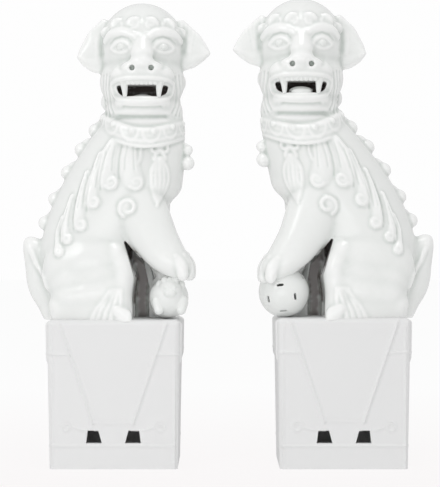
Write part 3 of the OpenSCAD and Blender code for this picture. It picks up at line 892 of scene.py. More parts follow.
def scratches(skin):
    skin.normals_now = skin.normals()
    for line in CHEEK_HAIR:
        for drawn in mirrored(line):
            skin.scratch(drawn, *HAIR_TOOL)
    skin.scratch(on_face(CHIN), *CHIN_TOOL)
    skin.scratch(on_face(THROAT), *THROAT_TOOL)
    for drawn in mirrored(NOSE_CREASE):
        skin.scratch(drawn, *NOSE_TOOL)
    skin.scratch(on_face(BROW_DENT), *DENT_TOOL)
    for drawn in mirrored(LID_FOLD):
        skin.scratch(drawn, *LID_TOOL)
    for line in EAR_HOLLOWS:
        skin.scratch(line, *EAR_TOOL)
    for side in (-1, 1):
        skin.scratch(HAUNCH_CREASE, *HAUNCH_TOOL, side)
        skin.scratch(SHIN_VALLEY, *SHIN_TOOL, side)
        skin.scratch(TAIL_RIB, *RIB_TOOL, side)
        for spec in LOCKS:
            run = np.array(spec["line"])
            for share in (-0.4, 0.4):
                drawn = np.stack([run[:, 0] + share * run[:, 2], run[:, 1]], 1)[:-1]
                skin.scratch(drawn, *LOCK_TOOL, side)
        for a, b in zip(FLANK_ORDER, FLANK_ORDER[1:]):
            drawn = (np.array(LOCKS[a]["line"]) + np.array(LOCKS[b]["line"]))[:, :2] / 2
            skin.scratch(drawn, *FLANK_TOOL, side)


print(len(CHEEK_HAIR), "hair lines on each cheek")

# %% [markdown]
# ## Taking the lion apart again
#
# The real lion is luted together from pieces, so the model has them too. Each point of the fused skin
# belongs to the piece whose pellet is nearest, and the borders are evened out. How deep each point lies
# in a groove is measured as well, for the glaze and for painted shade in the creases: it is the distance
# to a softer copy of the skin. Points of the open hollow get painted shade, darker the further they lie
# from the viewer.

# %% The piece of every point
LABEL_ROUNDS = 6
GROOVE_ROUNDS = 14
GROOVE_SCALE = 0.5
HEAD_FROM = 175.0
# Painted shade in the open hollow: where it starts away from the viewer, how many millimetres it deepens
# over, and how many rounds soften it.
HOLLOW_SHADE_FROM = -28.0
HOLLOW_SHADE_OVER = 12
HOLLOW_SHADE_ROUNDS = 5
GLAZE_ROUNDS = 3
TOOL_ROUNDS = 1
FLOOR_CUT = 1.5
SETTLE = 6.0


def labels(skin, clay, cutter):
    """The number of the piece, or of the cutter, that is nearest to every point."""
    corners, triangles, owner = clay.solids()
    cut_corners, cut_triangles = triangles_of(cutter)
    every = np.vstack([corners, cut_corners])
    sides = np.vstack([triangles, cut_triangles + len(corners)])
    owner = np.concatenate([owner, np.full(len(cut_triangles), HOLLOW)])
    tree = BVHTree.FromPolygons(every.tolist(), sides.tolist())
    return owner[[tree.find_nearest(p)[2] for p in skin.co.tolist()]]


def even(skin, share, rounds):
    """Values that are smoothed over the skin."""
    for _ in range(rounds):
        share = 0.5 * share + 0.5 * skin.mean(share)
    return share


def even_labels(skin, label):
    """Smooths the borders between the pieces."""
    best = np.full(len(label), -1.0)
    winner = label.copy()
    for piece in np.unique(label):
        share = even(skin, (label == piece).astype(float), LABEL_ROUNDS)
        better = share > best
        winner[better] = piece
        best[better] = share[better]
    return winner


# This depth sets the glaze colour: grooves get pooled glaze and painted crease shade.
def groove_depth(skin):
    """How deep each point lies in a hollow, from -1 on an edge to 1 in a groove."""
    soft = Skin(skin.mesh)
    soft.co = skin.co.copy()
    soft.soften(GROOVE_ROUNDS)
    depth = np.einsum("ij,ij->i", soft.co - skin.co, skin.normals())
    return np.clip(depth / GROOVE_SCALE, -1, 1)


def lion_form(clay):
    """The fused, cut and scratched skin of a lion, with the values of every point."""
    cutter = lion_cutter()
    skin = Skin(fused(clay.mesh(), VOXEL, cutter))
    skin.soften(GLAZE_ROUNDS)
    label = labels(skin, clay, cutter)
    scratches(skin)
    skin.soften(TOOL_ROUNDS)
    height = np.maximum(skin.co[:, 2], 0)
    skin.co[:, 2] -= SETTLE * np.exp(-(height / SETTLE) ** 2)
    skin.co[:, 2] = np.maximum(skin.co[:, 2], -FLOOR_CUT)
    hollow = label == HOLLOW
    # Painted shade: points of the open hollow are coloured darker the further they lie from the viewer.
    hollow_shade = hollow * np.clip((skin.co[:, 1] - HOLLOW_SHADE_FROM) / HOLLOW_SHADE_OVER, 0, 1)
    inside = np.where(skin.co[:, 2] > HEAD_FROM, PIECES.index("head"), PIECES.index("torso"))
    faces = np.empty(len(skin.mesh.loops), int)
    skin.mesh.loops.foreach_get("vertex_index", faces)
    return {"co": skin.co, "faces": faces.reshape(-1, 4), "pool_and_painted_light": groove_depth(skin),
            "hollow_shade": even(skin, hollow_shade, HOLLOW_SHADE_ROUNDS),
            "label": even_labels(skin, np.where(hollow, inside, label))}


lion_clay = Clay()
body(lion_clay)
head(lion_clay)
lion_clay.settle()
paws(lion_clay)
for piece in EAR:
    ear(lion_clay, piece)
features(lion_clay)
sprigs(lion_clay)
nape(lion_clay)
lion = lion_form(lion_clay)
print("the fused lion has", len(lion["faces"]), "faces")

# %% [markdown]
# ## Closing the pieces
#
# The faces are separated by piece, and every cut edge is closed inside the clay: a strip runs inwards
# from the edge, and a fan of triangles fills the rest, so each piece is a solid again. Filling holes with
# one flat face would let it poke out of the curved skin. The normals of the fused skin are kept, and the
# cut edges are marked sharp, so no seam shows under the glaze.

# %% Splitting and closing
FAN_DEPTH = 0.4
RIM_DEPTH = 3.5


def closing(faces, co, normals):
    """New points inside the clay, and the strips and fans that close a piece's cut edges with them."""
    n = len(co)
    a, b = faces.ravel(), np.roll(faces, -1, axis=1).ravel()
    cut = ~np.isin(b * n + a, a * n + b)
    a, b = a[cut], b[cut]
    rim, place = np.unique(np.concatenate([a, b]), return_inverse=True)
    at_a, at_b = place[:len(a)], place[len(a):]
    group = np.arange(len(rim))
    settled = False
    while not settled:
        low = np.minimum(group[at_a], group[at_b])
        grown = group.copy()
        np.minimum.at(grown, at_a, low)
        np.minimum.at(grown, at_b, low)
        grown = grown[grown]
        settled = np.array_equal(grown, group)
        group = grown
    group = np.unique(group, return_inverse=True)[1]
    count = np.bincount(group)[:, None]
    middle = np.stack([np.bincount(group, co[rim, i]) for i in range(3)], 1) / count
    inward = np.stack([np.bincount(group, -normals[rim, i]) for i in range(3)], 1) / count
    spread = np.sqrt(np.bincount(group, ((co[rim] - middle[group]) ** 2).sum(1))[:, None] / count)
    inset = co[rim] - RIM_DEPTH * MM * normals[rim]
    tips = middle + (FAN_DEPTH * spread + RIM_DEPTH * MM) * inward
    strips = np.stack([b, a, n + at_a, n + at_b], 1)
    fans = np.stack([n + at_b, n + at_a, n + len(rim) + group[at_a]], 1)
    return np.vstack([inset, tips]), strips, fans


def point_attribute(mesh, name, values):
    layer = mesh.attributes.new(name, "FLOAT", "POINT")
    layer.data.foreach_set("value", np.ascontiguousarray(values, np.float32))


PAW_DROP = 4.0
PAW_OUT = 3.5
# Where the reach begins and over how many millimetres it grows, in x, z and y
PAW_FROM = (32, 22)
PAW_UNDER = (80, 25)
PAW_NEAR = (4, 6)


def reached(side, co):
    """The right lion's raised paw reaches further out and lower, over the ball."""
    out = co.copy()
    if side == "right":
        share = np.clip((co[:, 0] - PAW_FROM[0]) / PAW_FROM[1], 0, 1)
        share *= np.clip((PAW_UNDER[0] - co[:, 2]) / PAW_UNDER[1], 0, 1)
        share *= np.clip((PAW_NEAR[0] - co[:, 1]) / PAW_NEAR[1], 0, 1)
        share = share ** 2 * (3 - 2 * share)
        out[:, 0] += PAW_OUT * share
        out[:, 2] -= PAW_DROP * share
    return out


def split(side):
    """One closed object for each piece of the fused lion."""
    faces = lion["faces"][:, ::-1] if side == "right" else lion["faces"]
    co = to_world(side, reached(side, lion["co"]))
    normals = Skin(mesh_of(co, faces)).normals()
    owner = lion["label"][lion["faces"][:, 0]]
    pieces = {}
    for number, piece in enumerate(PIECES):
        used, mine = np.unique(faces[owner == number], return_inverse=True)
        mine = mine.reshape(-1, 4)
        added, strips, fans = closing(mine, co[used], normals[used])
        corners = np.vstack([co[used], added])
        mesh = mesh_of(corners, mine, strips, fans)
        # Each piece keeps the glaze depth, with its painted crease shade, and the painted hollow shade of its
        # points.
        for name in ("pool_and_painted_light", "hollow_shade"):
            point_attribute(mesh, name, np.concatenate([lion[name][used], np.zeros(len(added))]))
        shown = [normals[used][mine.ravel()]]
        for faces_in in (strips, fans):
            a, b, c = (corners[faces_in[:, i]] for i in range(3))
            flat = np.cross(b - a, c - a)
            flat /= np.maximum(np.linalg.norm(flat, axis=1, keepdims=True), 1e-12)
            shown.append(np.repeat(flat, faces_in.shape[1], axis=0))
        layer = mesh.attributes.new("custom_normal", "FLOAT_VECTOR", "CORNER")
        layer.data.foreach_set("vector", np.vstack(shown).astype(np.float32).ravel())
        ends = np.empty(2 * len(mesh.edges), int)
        mesh.edges.foreach_get("vertices", ends)
        rim = np.sort(strips[:, :2], axis=1) @ (len(corners), 1)
        ends = np.sort(ends.reshape(-1, 2), axis=1) @ (len(corners), 1)
        layer = mesh.attributes.new("sharp_edge", "BOOLEAN", "EDGE")
        layer.data.foreach_set("value", np.isin(ends, rim))
        pieces[piece] = new_object(f"{side}_{piece}_porcelain", mesh)
        print(pieces[piece].name, len(mine), "faces, closed with", len(strips) + len(fans), "more")
    return pieces


statues = {side: split(side) for side in SIDES}

# %% [markdown]
# ## Eyes, teeth and tongue
#
# These are small solids of their own, set into the finished head. They are fused from pellets like the
# big forms, with finer voxels. Single spheres and cones would be simpler, but then the teeth would not
# grow out of one gum, as they do on the real lion.

# %% Small solids
FINE_VOXEL = 0.35
SMALL_ROUNDS = 2
EYE_PROUD = 1.6
EYE_DROP = 0.3
EYE_SQUINT = 0.6
TOOTH_PITCH = 3.96
# Where the lip is, how far behind it the row stands, and z and half sizes of a tooth's root and tip
UPPER_ROW = (205, 3, [(203.5, 2.6, 2.2, 1.5), (201.6, 2.3, 1.8, 1.1)])
LOWER_ROW = (188, 5, [(188, 2.5, 2.2, 1.5), (190.6, 2.2, 1.8, 1.1)])
FANG_DX = 14.8
FANG_BEHIND = 4
# Swellings of a fang: x and y from its middle, then z and half sizes
FANG = [(0.8, 0, 204, 4.0, 2.8, 2), (0, -0.5, 198, 2.9, 2.4, 2), (-0.3, 0, 192, 2.0, 1.8, 1.8)]
# Swellings of the tongue: y, z, share of the rise, and half sizes
TONGUE = [(-14, 189, 0, 10, 7, 4), (-24, 189.5, 1, 10.5, 7, 4), (-32, 188.5, 1, 9, 5, 3)]
TONGUE_RISE = {"left": 0.5, "right": 4.0}
TONGUE_VOXEL = FINE_VOXEL * 1.4


def small_solid(side, piece, clay, voxel, cutter=None, rounds=SMALL_ROUNDS):
    """Fuse, soften and place one small piece, and keep it with its statue."""
    skin = Skin(fused(clay.mesh(), voxel, cutter))
    skin.soften(rounds)
    skin.co = to_world(side, skin.co)
    skin.store()
    mesh = skin.mesh
    if side == "right":
        mesh.flip_normals()
    point_attribute(mesh, "pool_and_painted_light", np.zeros(len(mesh.vertices)))
    point_attribute(mesh, "hollow_shade", np.zeros(len(mesh.vertices)))
    mesh.materials.clear()
    mesh.shade_smooth()
    obj = new_object(f"{side}_{piece}_porcelain", mesh)
    statues[side][piece] = obj
    print(obj.name, len(mesh.polygons), "faces")


def eyes():
    clay = Clay()
    for x in both(EYE_DX):
        y = lion_clay.skin(x, EYE_Z).y + EYE_R - EYE_PROUD
        clay.add(0, (x, y, EYE_Z - EYE_DROP, EYE_R, EYE_R, EYE_R - EYE_SQUINT))
    return clay


def fangs(clay):
    for s in (-1, 1):
        x = FACE_X + s * FANG_DX
        y = lion_clay.skin(x, UPPER_ROW[0]).y + FANG_BEHIND
        clay.add(0, *[(x + dx * s, y + dy, *size) for dx, dy, *size in FANG])


def teeth(clay, lip, behind, tooth):
    for i in range(-3, 4):
        x = FACE_X + TOOTH_PITCH * i
        y = lion_clay.skin(x, lip).y + behind
        clay.add(0, *[(x, y, *size) for size in tooth])


for side in SIDES:
    small_solid(side, "eyes", eyes(), FINE_VOXEL)
    upper = Clay()
    fangs(upper)
    teeth(upper, *UPPER_ROW)
    small_solid(side, "upper_teeth", upper, FINE_VOXEL)
    lower = Clay()
    teeth(lower, *LOWER_ROW)
    small_solid(side, "lower_teeth", lower, FINE_VOXEL)
    tongue = Clay()
    tongue.add(0, *[(FACE_X, y, z + TONGUE_RISE[side] * share, *size) for y, z, share, *size in TONGUE])
    small_solid(side, "tongue", tongue, TONGUE_VOXEL)

# %% [markdown]
# ## The ball
#
# The right lion's ball is hollow and pierced with short slits. Four stand round the middle of its front,
# four round its back, and two at each end. A cutter with the hollow and a block for every slit opens it,
# and a wide block levels the underside. The cutter is turned a little, because the photograph does not
# show the slits straight on.

# %% The pierced ball
BALL_VOXEL = 0.5
BALL_AT = (50.2, -15.6, 21.6)
BALL_R = 22.0
BALL_WALL = 3.5
BALL_FLOOR = -0.2
LEVEL_BLOCK = (60, 60, 20)
SLIT = (6.0, 10, 2.2)
SLIT_LIFT = 33
BALL_TURN = (15, 8, 8)
POLES = [("X", 0, range(4)), ("X", 180, range(4)), ("Z", 90, (0, 2)), ("Z", 270, (0, 2))]


def ball_cutter():
    bm = bmesh.new()
    middle = Matrix.Translation(BALL_AT)
    for axis, turn in zip("XZY", BALL_TURN):
        middle = middle @ Matrix.Rotation(math.radians(turn), 4, axis)
    bmesh.ops.create_icosphere(bm, subdivisions=4, radius=BALL_R - BALL_WALL, matrix=middle)
    tilt = Matrix.Rotation(math.radians(SLIT_LIFT), 4, "X")
    out = Matrix.Translation((0, -BALL_R, 0)) @ Matrix.Diagonal((*SLIT, 1))
    for axis, turn, quarters in POLES:
        pole = Matrix.Rotation(math.radians(turn), 4, axis)
        for quarter in quarters:
            spin = Matrix.Rotation(math.radians(90 * quarter), 4, "Y")
            bmesh.ops.create_cube(bm, size=1, matrix=middle @ pole @ spin @ tilt @ out)
    below = Matrix.Translation((*BALL_AT[:2], BALL_FLOOR - LEVEL_BLOCK[2] / 2))
    bmesh.ops.create_cube(bm, size=1, matrix=below @ Matrix.Diagonal((*LEVEL_BLOCK, 1)))
    cutter = bpy.data.meshes.new("ball_cutter")
    bm.to_mesh(cutter)
    bm.free()
    return cutter


ball = Clay()
ball.add(0, (*BALL_AT, BALL_R, BALL_R, BALL_R))
small_solid("right", "ball", ball, BALL_VOXEL, ball_cutter())

# %% [markdown]
# ## The cub
#
# The left lion holds a cub under its raised paw. It is small and soft in the photograph, so a few
# swellings and more rounds of softening are enough: body, head, muzzle, ears, eyes, paws and three curls.

# %% The cub's swellings
CUB_VOXEL = 0.5
CUB_ROUNDS = 7
CUB_BODY = [(46.5, -19, 18.5, 17, 16.5, 17.5), (44, -9, 12, 14, 14, 12)]
CUB_FACE = (48, -28, 25.5)
# From here on x, y and z are taken from the middle of the face
CUB_HEAD = [(0, 0, 0, 10.5, 7.5, 9.5), (0, -6, -3, 5.6, 4, 3.6)]
CUB_EAR = (9.5, 2.5, 3.5, 3.4, 3, 5)
CUB_EYE = (3.8, -6.2, 2.2, 1.9, 1.6, 1.5)
CUB_PAW = [(11.5, -1, -10.5, 4.2, 4.2, 6), (9.5, -4, -17.5, 4.2, 4.2, 4)]
CUB_CURLS = [(dx, -1, 8.5, 3.2, 3.2, 2.8) for dx in (-5, 0, 5)]


def by_face(spec, s=1):
    dx, dy, dz, *size = spec
    x, y, z = CUB_FACE
    return (x + dx * s, y + dy, z + dz, *size)


cub = Clay()
for spec in CUB_BODY:
    cub.add(0, spec)
for spec in CUB_HEAD:
    cub.add(0, by_face(spec))
for s in (-1, 1):
    cub.add(0, by_face(CUB_EAR, s))
    cub.add(0, by_face(CUB_EYE, s))
    cub.add(0, *[by_face(spec, s) for spec in CUB_PAW])
for spec in CUB_CURLS:
    cub.add(0, by_face(spec))
small_solid("left", "cub", cub, CUB_VOXEL, rounds=CUB_ROUNDS)

# %% [markdown]
# ## The ornament of the plinths
#
# A plinth's ornament is so shallow that it shows only as faint lines: a cloth hangs in a V from the top,
# rails cross the wall, and a scroll stands at each side. It is written as a height for every point of a
# wall, because ridges this low are easier to add up than to model.

# %% Relief
RELIEF = 1.6
CLOTH_TOP = 46.5
CLOTH_TIP = 17.0
CLOTH_DROP = 88.0
CLOTH_LIFT = 0.5
RAIL_DROP = 29.0
SILL = 22.0
SILL_RAIL = SILL - 2
FOOT_GROOVE = 4
POST_AT = 52
POST_DROP = 6
SCROLL_AT = (40, 36)
SCROLL_R = (5.2, 3.4)
SCROLL_TURN = 540
SCROLL_STEM = ((25, 33), (35, 36))
# Width and height of the ridges
HEM = (1.2, 1.5)
TIP_HEM = (1.2, 0.5)
RAIL = (1.0, 0.9)
SILL_LINE = (1.0, 0.8)
FINE_LINE = (0.9, 0.6)
SCROLL_LINE = (0.9, 0.8)
END_RAIL = (1.0, 0.4)
END_SILL = (1.0, 0.3)
# The cloth on the end walls: drop, height and half width of its wave, soft edge and half width
END_CLOTH = (26, 10, 34, 5, 36)


def ridge(distance, width, height):
    return height * np.exp(-(distance / width) ** 2)


def to_line(u, z, start, end):
    """Distance from points of a wall to a straight line on it."""
    start, end = np.array(start, float), np.array(end, float)
    run = end - start
    p = np.stack([u, z], 1) - start
    t = np.clip(p @ run / (run @ run), 0, 1)
    return np.linalg.norm(p - t[:, None] * run, axis=1)


def front_relief(u, z, h):
    """Height of the ornament on the front and back walls."""
    u = np.abs(u)
    tip = h - CLOTH_DROP
    edge_u = CLOTH_TIP + (CLOTH_TOP - CLOTH_TIP) * (z - tip) / CLOTH_DROP
    out = ridge(to_line(u, z, (CLOTH_TOP, h), (CLOTH_TIP, tip)), *HEM)
    out += CLOTH_LIFT * np.clip((edge_u - u) / 2 + 0.5, 0, 1) * np.clip((z - tip) / 4, 0, 1)
    out += ridge(to_line(u, z, (0, tip), (CLOTH_TIP, tip)), *TIP_HEM)
    out += (u > edge_u) * ridge(z - (h - RAIL_DROP), *RAIL)
    out += ridge(z - SILL_RAIL, *SILL_LINE)
    out -= ridge(z - FOOT_GROOVE, *FINE_LINE)
    out += ridge(u - POST_AT, *FINE_LINE) * (z < h - POST_DROP)
    for a in np.radians(np.arange(0, SCROLL_TURN, 20)):
        r = SCROLL_R[0] - SCROLL_R[1] * a / np.radians(SCROLL_TURN)
        du = u - (SCROLL_AT[0] - r * np.cos(a))
        dz = z - (SCROLL_AT[1] + r * np.sin(a))
        out = np.maximum(out, ridge(np.hypot(du, dz), *SCROLL_LINE))
    return np.maximum(out, ridge(to_line(u, z, *SCROLL_STEM), *SCROLL_LINE))


def side_relief(u, z, h):
    """Height of the ornament on the two end walls."""
    drop, wave, half_wave, soft, half = END_CLOTH
    fall = h - drop + wave * np.cos(np.clip(u / half_wave, -1, 1) * math.pi)
    out = RELIEF * np.clip((z - fall) / soft + 0.5, 0, 1) * (np.abs(u) < half)
    out += ridge(z - (h - RAIL_DROP), *END_RAIL)
    out += ridge(z - SILL_RAIL, *END_SILL)
    return out


print("the cloth hangs", CLOTH_DROP, "mm from the top")

# %% [markdown]
# ## The plinths
#
# A plinth is a tall hollow box that flares a little towards the top, with soft corners and two small
# windows near the foot. A finely divided box takes the relief best, because each point of the wall can be
# moved by the height of the ornament there. Then the inside and the windows are cut.

# %% Plinth walls, hollow and windows
PLINTH_CUTS = 129
PLINTH_R = 4.2
PLINTH_FLARE = 2.2
PLINTH_WALL = 6.0
# Painted light: the plinth walls take the whitest glaze colour, to make up for the light they lack.
PLINTH_PAINTED_LIGHT = -0.6
FLAT_MARGIN = 6
HOLLOW_MARGIN = 1
HOLLOW_R = 3
NEAR_WALL = 0.5
SHARP = math.radians(35)
WINDOW = [(9.8, 0), (23.4, 0), (22, 11), (12.8, 11)]
WINDOW_PAST = 20


def divided_box(half):
    """A box of small faces, with one large face in the middle of its top and of its underside."""
    bm = bmesh.new()
    bmesh.ops.create_cube(bm, size=2, matrix=Matrix.Diagonal((*half, 1)))
    bmesh.ops.subdivide_edges(bm, edges=bm.edges, cuts=PLINTH_CUTS, use_grid_fill=True)
    flat = {True: [], False: []}
    for f in bm.faces:
        x, y, z = f.calc_center_median()
        if abs(f.normal.z) > 0.9 and abs(x) < half[0] - FLAT_MARGIN and abs(y) < half[1] - FLAT_MARGIN:
            flat[z > 0].append(f)
    for faces in flat.values():
        bmesh.ops.dissolve_faces(bm, faces=faces, use_verts=True)
    return bm


def walls(half, h):
    bm = divided_box(half)
    co = np.array([v.co for v in bm.verts])
    core = half - PLINTH_R
    held = np.clip(co, -core, core)
    held[:, 2] = np.clip(co[:, 2], -half[2], core[2])
    lean = co - held
    reach = np.linalg.norm(lean, axis=1, keepdims=True)
    normal = lean / np.maximum(reach, 1e-9)
    co = held + normal * np.minimum(reach, PLINTH_R)
    co[:, 2] += half[2]
    front = np.abs(normal[:, 1]) ** 2 * front_relief(co[:, 0], co[:, 2], h)
    ends = np.abs(normal[:, 0]) ** 2 * side_relief(co[:, 1], co[:, 2], h)
    co += normal * (front + ends)[:, None] * [1, 1, 0]
    outward = np.clip(np.abs(normal[:, :2]) * 2, 0, 1) * np.sign(normal[:, :2])
    co[:, :2] -= PLINTH_FLARE * outward * (1 - co[:, 2:] / h)
    for v, p in zip(bm.verts, co):
        v.co = p
    for f in bm.faces:
        f.smooth = True
    mesh = bpy.data.meshes.new("walls")
    bm.to_mesh(mesh)
    bm.free()
    return mesh


def hollowed(mesh, half, h):
    """Cut the inside and the windows, and mark the edges of the cuts as sharp."""
    room = bmesh.new()
    width, depth = 2 * (half[:2] - PLINTH_WALL - HOLLOW_MARGIN)
    place = Matrix.Translation((0, 0, h / 2 - PLINTH_WALL))
    bmesh.ops.create_cube(room, size=1, matrix=place @ Matrix.Diagonal((width, depth, h, 1)))
    bmesh.ops.bevel(room, geom=room.edges[:], offset=HOLLOW_R, affect="EDGES", segments=3, profile=0.5,
                    material=-1)
    pierced = bmesh.new()
    for s in (-1, 1):
        outline = [(s * x, SILL + z) for x, z in WINDOW]
        prism(pierced, outline, -half[1] - WINDOW_PAST, half[1] + WINDOW_PAST)
    obj = new_object("walls", mesh)
    tools = []
    for bm in (room, pierced):
        cutter = bpy.data.meshes.new("plinth_cutter")
        bm.to_mesh(cutter)
        bm.free()
        tools.append(new_object("plinth_cutter", cutter))
        hole = obj.modifiers.new("hollow", "BOOLEAN")
        hole.operation = "DIFFERENCE"
        hole.solver = "MANIFOLD"
        hole.object = tools[-1]
    done = evaluated(obj)
    for tool in [obj] + tools:
        bpy.data.objects.remove(tool)
    bm = bmesh.new()
    bm.from_mesh(done)
    for e in bm.edges:
        e.smooth = e.calc_face_angle(0) < SHARP
    bm.to_mesh(done)
    bm.free()
    return done


def plinth(side):
    low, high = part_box(f"{side}_plinth")
    half = np.array([high.x - low.x, high.y - low.y, seat(side)[2] - low.z]) / 2 / MM
    half[:2] -= RELIEF
    h = 2 * half[2]
    mesh = hollowed(walls(half, h), half, h)
    co = np.empty(3 * len(mesh.vertices))
    mesh.vertices.foreach_get("co", co)
    co = co.reshape(-1, 3)
    inside = np.all(np.abs(co[:, :2]) < half[:2] - PLINTH_WALL - NEAR_WALL, axis=1)
    inside &= co[:, 2] < h - PLINTH_WALL + NEAR_WALL
    # The whole plinth is painted lighter, as painted light, and its inside is painted dark, as painted shade.
    point_attribute(mesh, "pool_and_painted_light", np.full(len(co), PLINTH_PAINTED_LIGHT))
    point_attribute(mesh, "hollow_shade", inside.astype(float))
    co[:, 2] -= h
    mesh.vertices.foreach_set("co", (co * MM + seat(side)).ravel())
    mesh.update()
    piece = new_object(f"{side}_plinth_porcelain", mesh)
    statues[side]["plinth"] = piece
    print(piece.name, len(mesh.polygons), "faces")


for side in SIDES:
    plinth(side)

# %% [markdown]
# ## The glaze
#
# White porcelain has a clear glaze over a white body. It is glossy, it is whitest on raised edges where
# it runs thin, and it is a little green and grey where it pools. Grooves are darker still, as painted
# shade in the creases. The plinths are painted lighter, as painted light, and the open insides of the
# castings and plinths are painted dark, as painted shade. The script has measured the hollows of the
# clay as one attribute of every point, and the shaded insides as another. Painted maps could say the
# same, but the attributes come from the shape itself.

# %% Porcelain material
GLAZE_ROUGHNESS = 0.17
GLAZE_IOR = 1.5
THIN_GLAZE = (0.36, (0.92, 0.925, 0.915, 1))
# The colour in the deepest grooves: the green of pooled glaze, and painted shade in the creases.
DEEP_GLAZE_AND_SHADE = (0.9, (0.60, 0.64, 0.61, 1))
# Painted shade: the dark colour of the open insides of the castings and plinths, standing in for their shade.
HOLLOW_SHADE_COLOUR = (0.17, 0.145, 0.135, 1)


def porcelain():
    mat = bpy.data.materials.new("white_porcelain")
    mat.use_nodes = True
    nodes, links = mat.node_tree.nodes, mat.node_tree.links
    shader = nodes["Principled BSDF"]
    shader.inputs["Roughness"].default_value = GLAZE_ROUGHNESS
    shader.inputs["IOR"].default_value = GLAZE_IOR
    # Pooled glaze and painted crease shade, and on the plinths painted light, come in through this attribute.
    pool_and_painted_light = nodes.new("ShaderNodeAttribute")
    pool_and_painted_light.attribute_name = "pool_and_painted_light"
    hollow_shade = nodes.new("ShaderNodeAttribute")
    hollow_shade.attribute_name = "hollow_shade"
    ramp = nodes.new("ShaderNodeValToRGB")
    for element, (position, colour) in zip(ramp.color_ramp.elements, (THIN_GLAZE, DEEP_GLAZE_AND_SHADE)):
        element.position = position
        element.color = colour
    half = nodes.new("ShaderNodeMath")
    half.operation = "MULTIPLY_ADD"
    half.inputs[1].default_value = 0.5
    half.inputs[2].default_value = 0.5
    links.new(pool_and_painted_light.outputs["Fac"], half.inputs[0])
    links.new(half.outputs[0], ramp.inputs[0])
    # Painted shade: the insides are mixed towards a dark colour.
    inside = nodes.new("ShaderNodeMix")
    inside.data_type = "RGBA"
    inside.inputs["B"].default_value = HOLLOW_SHADE_COLOUR
    links.new(hollow_shade.outputs["Fac"], inside.inputs["Factor"])
    links.new(ramp.outputs["Color"], inside.inputs["A"])
    links.new(inside.outputs["Result"], shader.inputs["Base Color"])
    return mat


glaze = porcelain()
for side in SIDES:
    for piece, obj in statues[side].items():
        obj.data.materials.append(glaze)
        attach(obj, f"{side}_statue")
        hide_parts(f"{side}_{piece}")
print({side: len(statues[side]) for side in SIDES})

# %% [markdown]
# ## Camera and floor
#
# The photograph looks level at the pair from about half its height, so the camera is level, and its lens
# follows from the width of the picture at the plinths' front. The floor is a white sheet. To the camera
# it mostly glows white, with a trace of paper for a faint contact shadow, and to every other ray it is
# matt paper.

# %% Camera and white floor
PHOTO_W = 440
MM_PER_PIXEL = 0.849
EYE = (-7.45, -1190.0, 192.3)
SENSOR = 36
WALL_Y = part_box("left_plinth")[0].y / MM
FLOOR_SIZE = 6
FLOOR_WHITE = 0.94
# Painted shade: the white that the camera sees is a little darker and pinker near the camera than far off.
FLOOR_NEAR = (-0.3, (0.95, 0.925, 0.925, 1))
FLOOR_FAR = (0.6, (0.99, 0.99, 0.99, 1))
PAPER = (0.95, 0.95, 0.95, 1)
PAPER_ROUGHNESS = 0.6


def camera():
    data = bpy.data.cameras.new("camera")
    data.sensor_fit = "HORIZONTAL"
    data.sensor_width = SENSOR
    data.lens = SENSOR * (WALL_Y - EYE[1]) / (PHOTO_W * MM_PER_PIXEL)
    obj = new_object("camera", data)
    obj.location = Vector(EYE) * MM
    obj.rotation_euler = (math.radians(90), 0, 0)
    scene.camera = obj
    print("lens", round(data.lens, 1), "mm")


def floor_material():
    mat = bpy.data.materials.new("white_floor")
    mat.use_nodes = True
    nodes, links = mat.node_tree.nodes, mat.node_tree.links
    paper = nodes["Principled BSDF"]
    paper.inputs["Base Color"].default_value = PAPER
    paper.inputs["Roughness"].default_value = PAPER_ROUGHNESS
    white = nodes.new("ShaderNodeEmission")
    way = nodes.new("ShaderNodeTexCoord")
    axes = nodes.new("ShaderNodeSeparateXYZ")
    share = nodes.new("ShaderNodeMapRange")
    share.inputs["From Min"].default_value = FLOOR_NEAR[0]
    share.inputs["From Max"].default_value = FLOOR_FAR[0]
    tone = nodes.new("ShaderNodeMix")
    tone.data_type = "RGBA"
    tone.inputs["A"].default_value = FLOOR_NEAR[1]
    tone.inputs["B"].default_value = FLOOR_FAR[1]
    links.new(way.outputs["Object"], axes.inputs[0])
    links.new(axes.outputs["Y"], share.inputs["Value"])
    links.new(share.outputs["Result"], tone.inputs["Factor"])
    links.new(tone.outputs["Result"], white.inputs["Color"])
    path = nodes.new("ShaderNodeLightPath")
    seen = nodes.new("ShaderNodeMath")
    seen.operation = "MULTIPLY"
    seen.inputs[1].default_value = FLOOR_WHITE
    mix = nodes.new("ShaderNodeMixShader")
    links.new(path.outputs["Is Camera Ray"], seen.inputs[0])
    links.new(seen.outputs[0], mix.inputs["Fac"])
    links.new(paper.outputs[0], mix.inputs[1])
    links.new(white.outputs[0], mix.inputs[2])
    links.new(mix.outputs[0], nodes["Material Output"].inputs["Surface"])
    return mat


def floor():
    bm = bmesh.new()
    bmesh.ops.create_grid(bm, x_segments=1, y_segments=1, size=FLOOR_SIZE)
    mesh = bpy.data.meshes.new("floor")
    bm.to_mesh(mesh)
    bm.free()
    obj = new_object("floor", mesh)
    mesh.materials.append(floor_material())


camera()
floor()

# %% [markdown]
# ## Light
#
# The light is that of a white studio: it comes from all round, a little dimmer from the camera's side,
# and three softboxes add the highlights that show how glossy the glaze is. One strong lamp would light it
# too, but its shadows would be far too hard.

# %% World and lamps
STUDIO_WHITE = (0.99, 0.99, 0.99, 1)
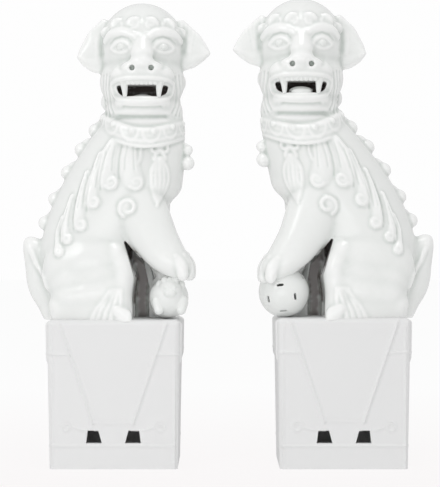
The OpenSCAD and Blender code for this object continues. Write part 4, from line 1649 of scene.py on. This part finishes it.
# Strength of the light from the camera's side and from the far side
STUDIO_NEAR = (-1, 0.87)
STUDIO_FAR = (0.3, 0.92)
# Place, aim, width and height in metres, and power in watts
SOFTBOXES = {"left_softbox": ((-0.9, -1.0, 0.9), (0, 0, 0.2), (0.45, 0.6), 2.2),
             "top_softbox": ((0.1, -0.5, 1.5), (0, 0, 0.2), (0.6, 0.5), 3.0),
             "low_softbox": ((-0.15, -0.8, 0.1), (0, 0, 0.08), (0.8, 0.3), 0.8)}


def lamp(name, place, aim, size, power):
    data = bpy.data.lights.new(name, "AREA")
    data.shape = "ELLIPSE"
    data.size, data.size_y = size
    data.energy = power
    obj = new_object(name, data)
    obj.location = place
    obj.rotation_euler = (Vector(aim) - Vector(place)).to_track_quat("-Z", "Y").to_euler()


def world():
    """A white studio: pure white to the camera, a little dimmer on the camera's side as a light."""
    w = bpy.data.worlds.new("studio")
    scene.world = w
    w.use_nodes = True
    nodes, links = w.node_tree.nodes, w.node_tree.links
    white = nodes["Background"]
    white.inputs["Color"].default_value = STUDIO_WHITE
    room = nodes.new("ShaderNodeBackground")
    path = nodes.new("ShaderNodeLightPath")
    pick = nodes.new("ShaderNodeMixShader")
    way = nodes.new("ShaderNodeTexCoord")
    axes = nodes.new("ShaderNodeSeparateXYZ")
    dim = nodes.new("ShaderNodeMapRange")
    dim.inputs["From Min"].default_value, dim.inputs["To Min"].default_value = STUDIO_NEAR
    dim.inputs["From Max"].default_value, dim.inputs["To Max"].default_value = STUDIO_FAR
    links.new(way.outputs["Generated"], axes.inputs[0])
    links.new(axes.outputs["Y"], dim.inputs["Value"])
    links.new(dim.outputs["Result"], room.inputs["Strength"])
    links.new(path.outputs["Is Camera Ray"], pick.inputs["Fac"])
    links.new(room.outputs[0], pick.inputs[1])
    links.new(white.outputs[0], pick.inputs[2])
    links.new(pick.outputs[0], nodes["World Output"].inputs["Surface"])


world()
for name, softbox in SOFTBOXES.items():
    lamp(name, *softbox)
scene.view_settings.view_transform = "Standard"
print(len(SOFTBOXES), "softboxes in a white studio")
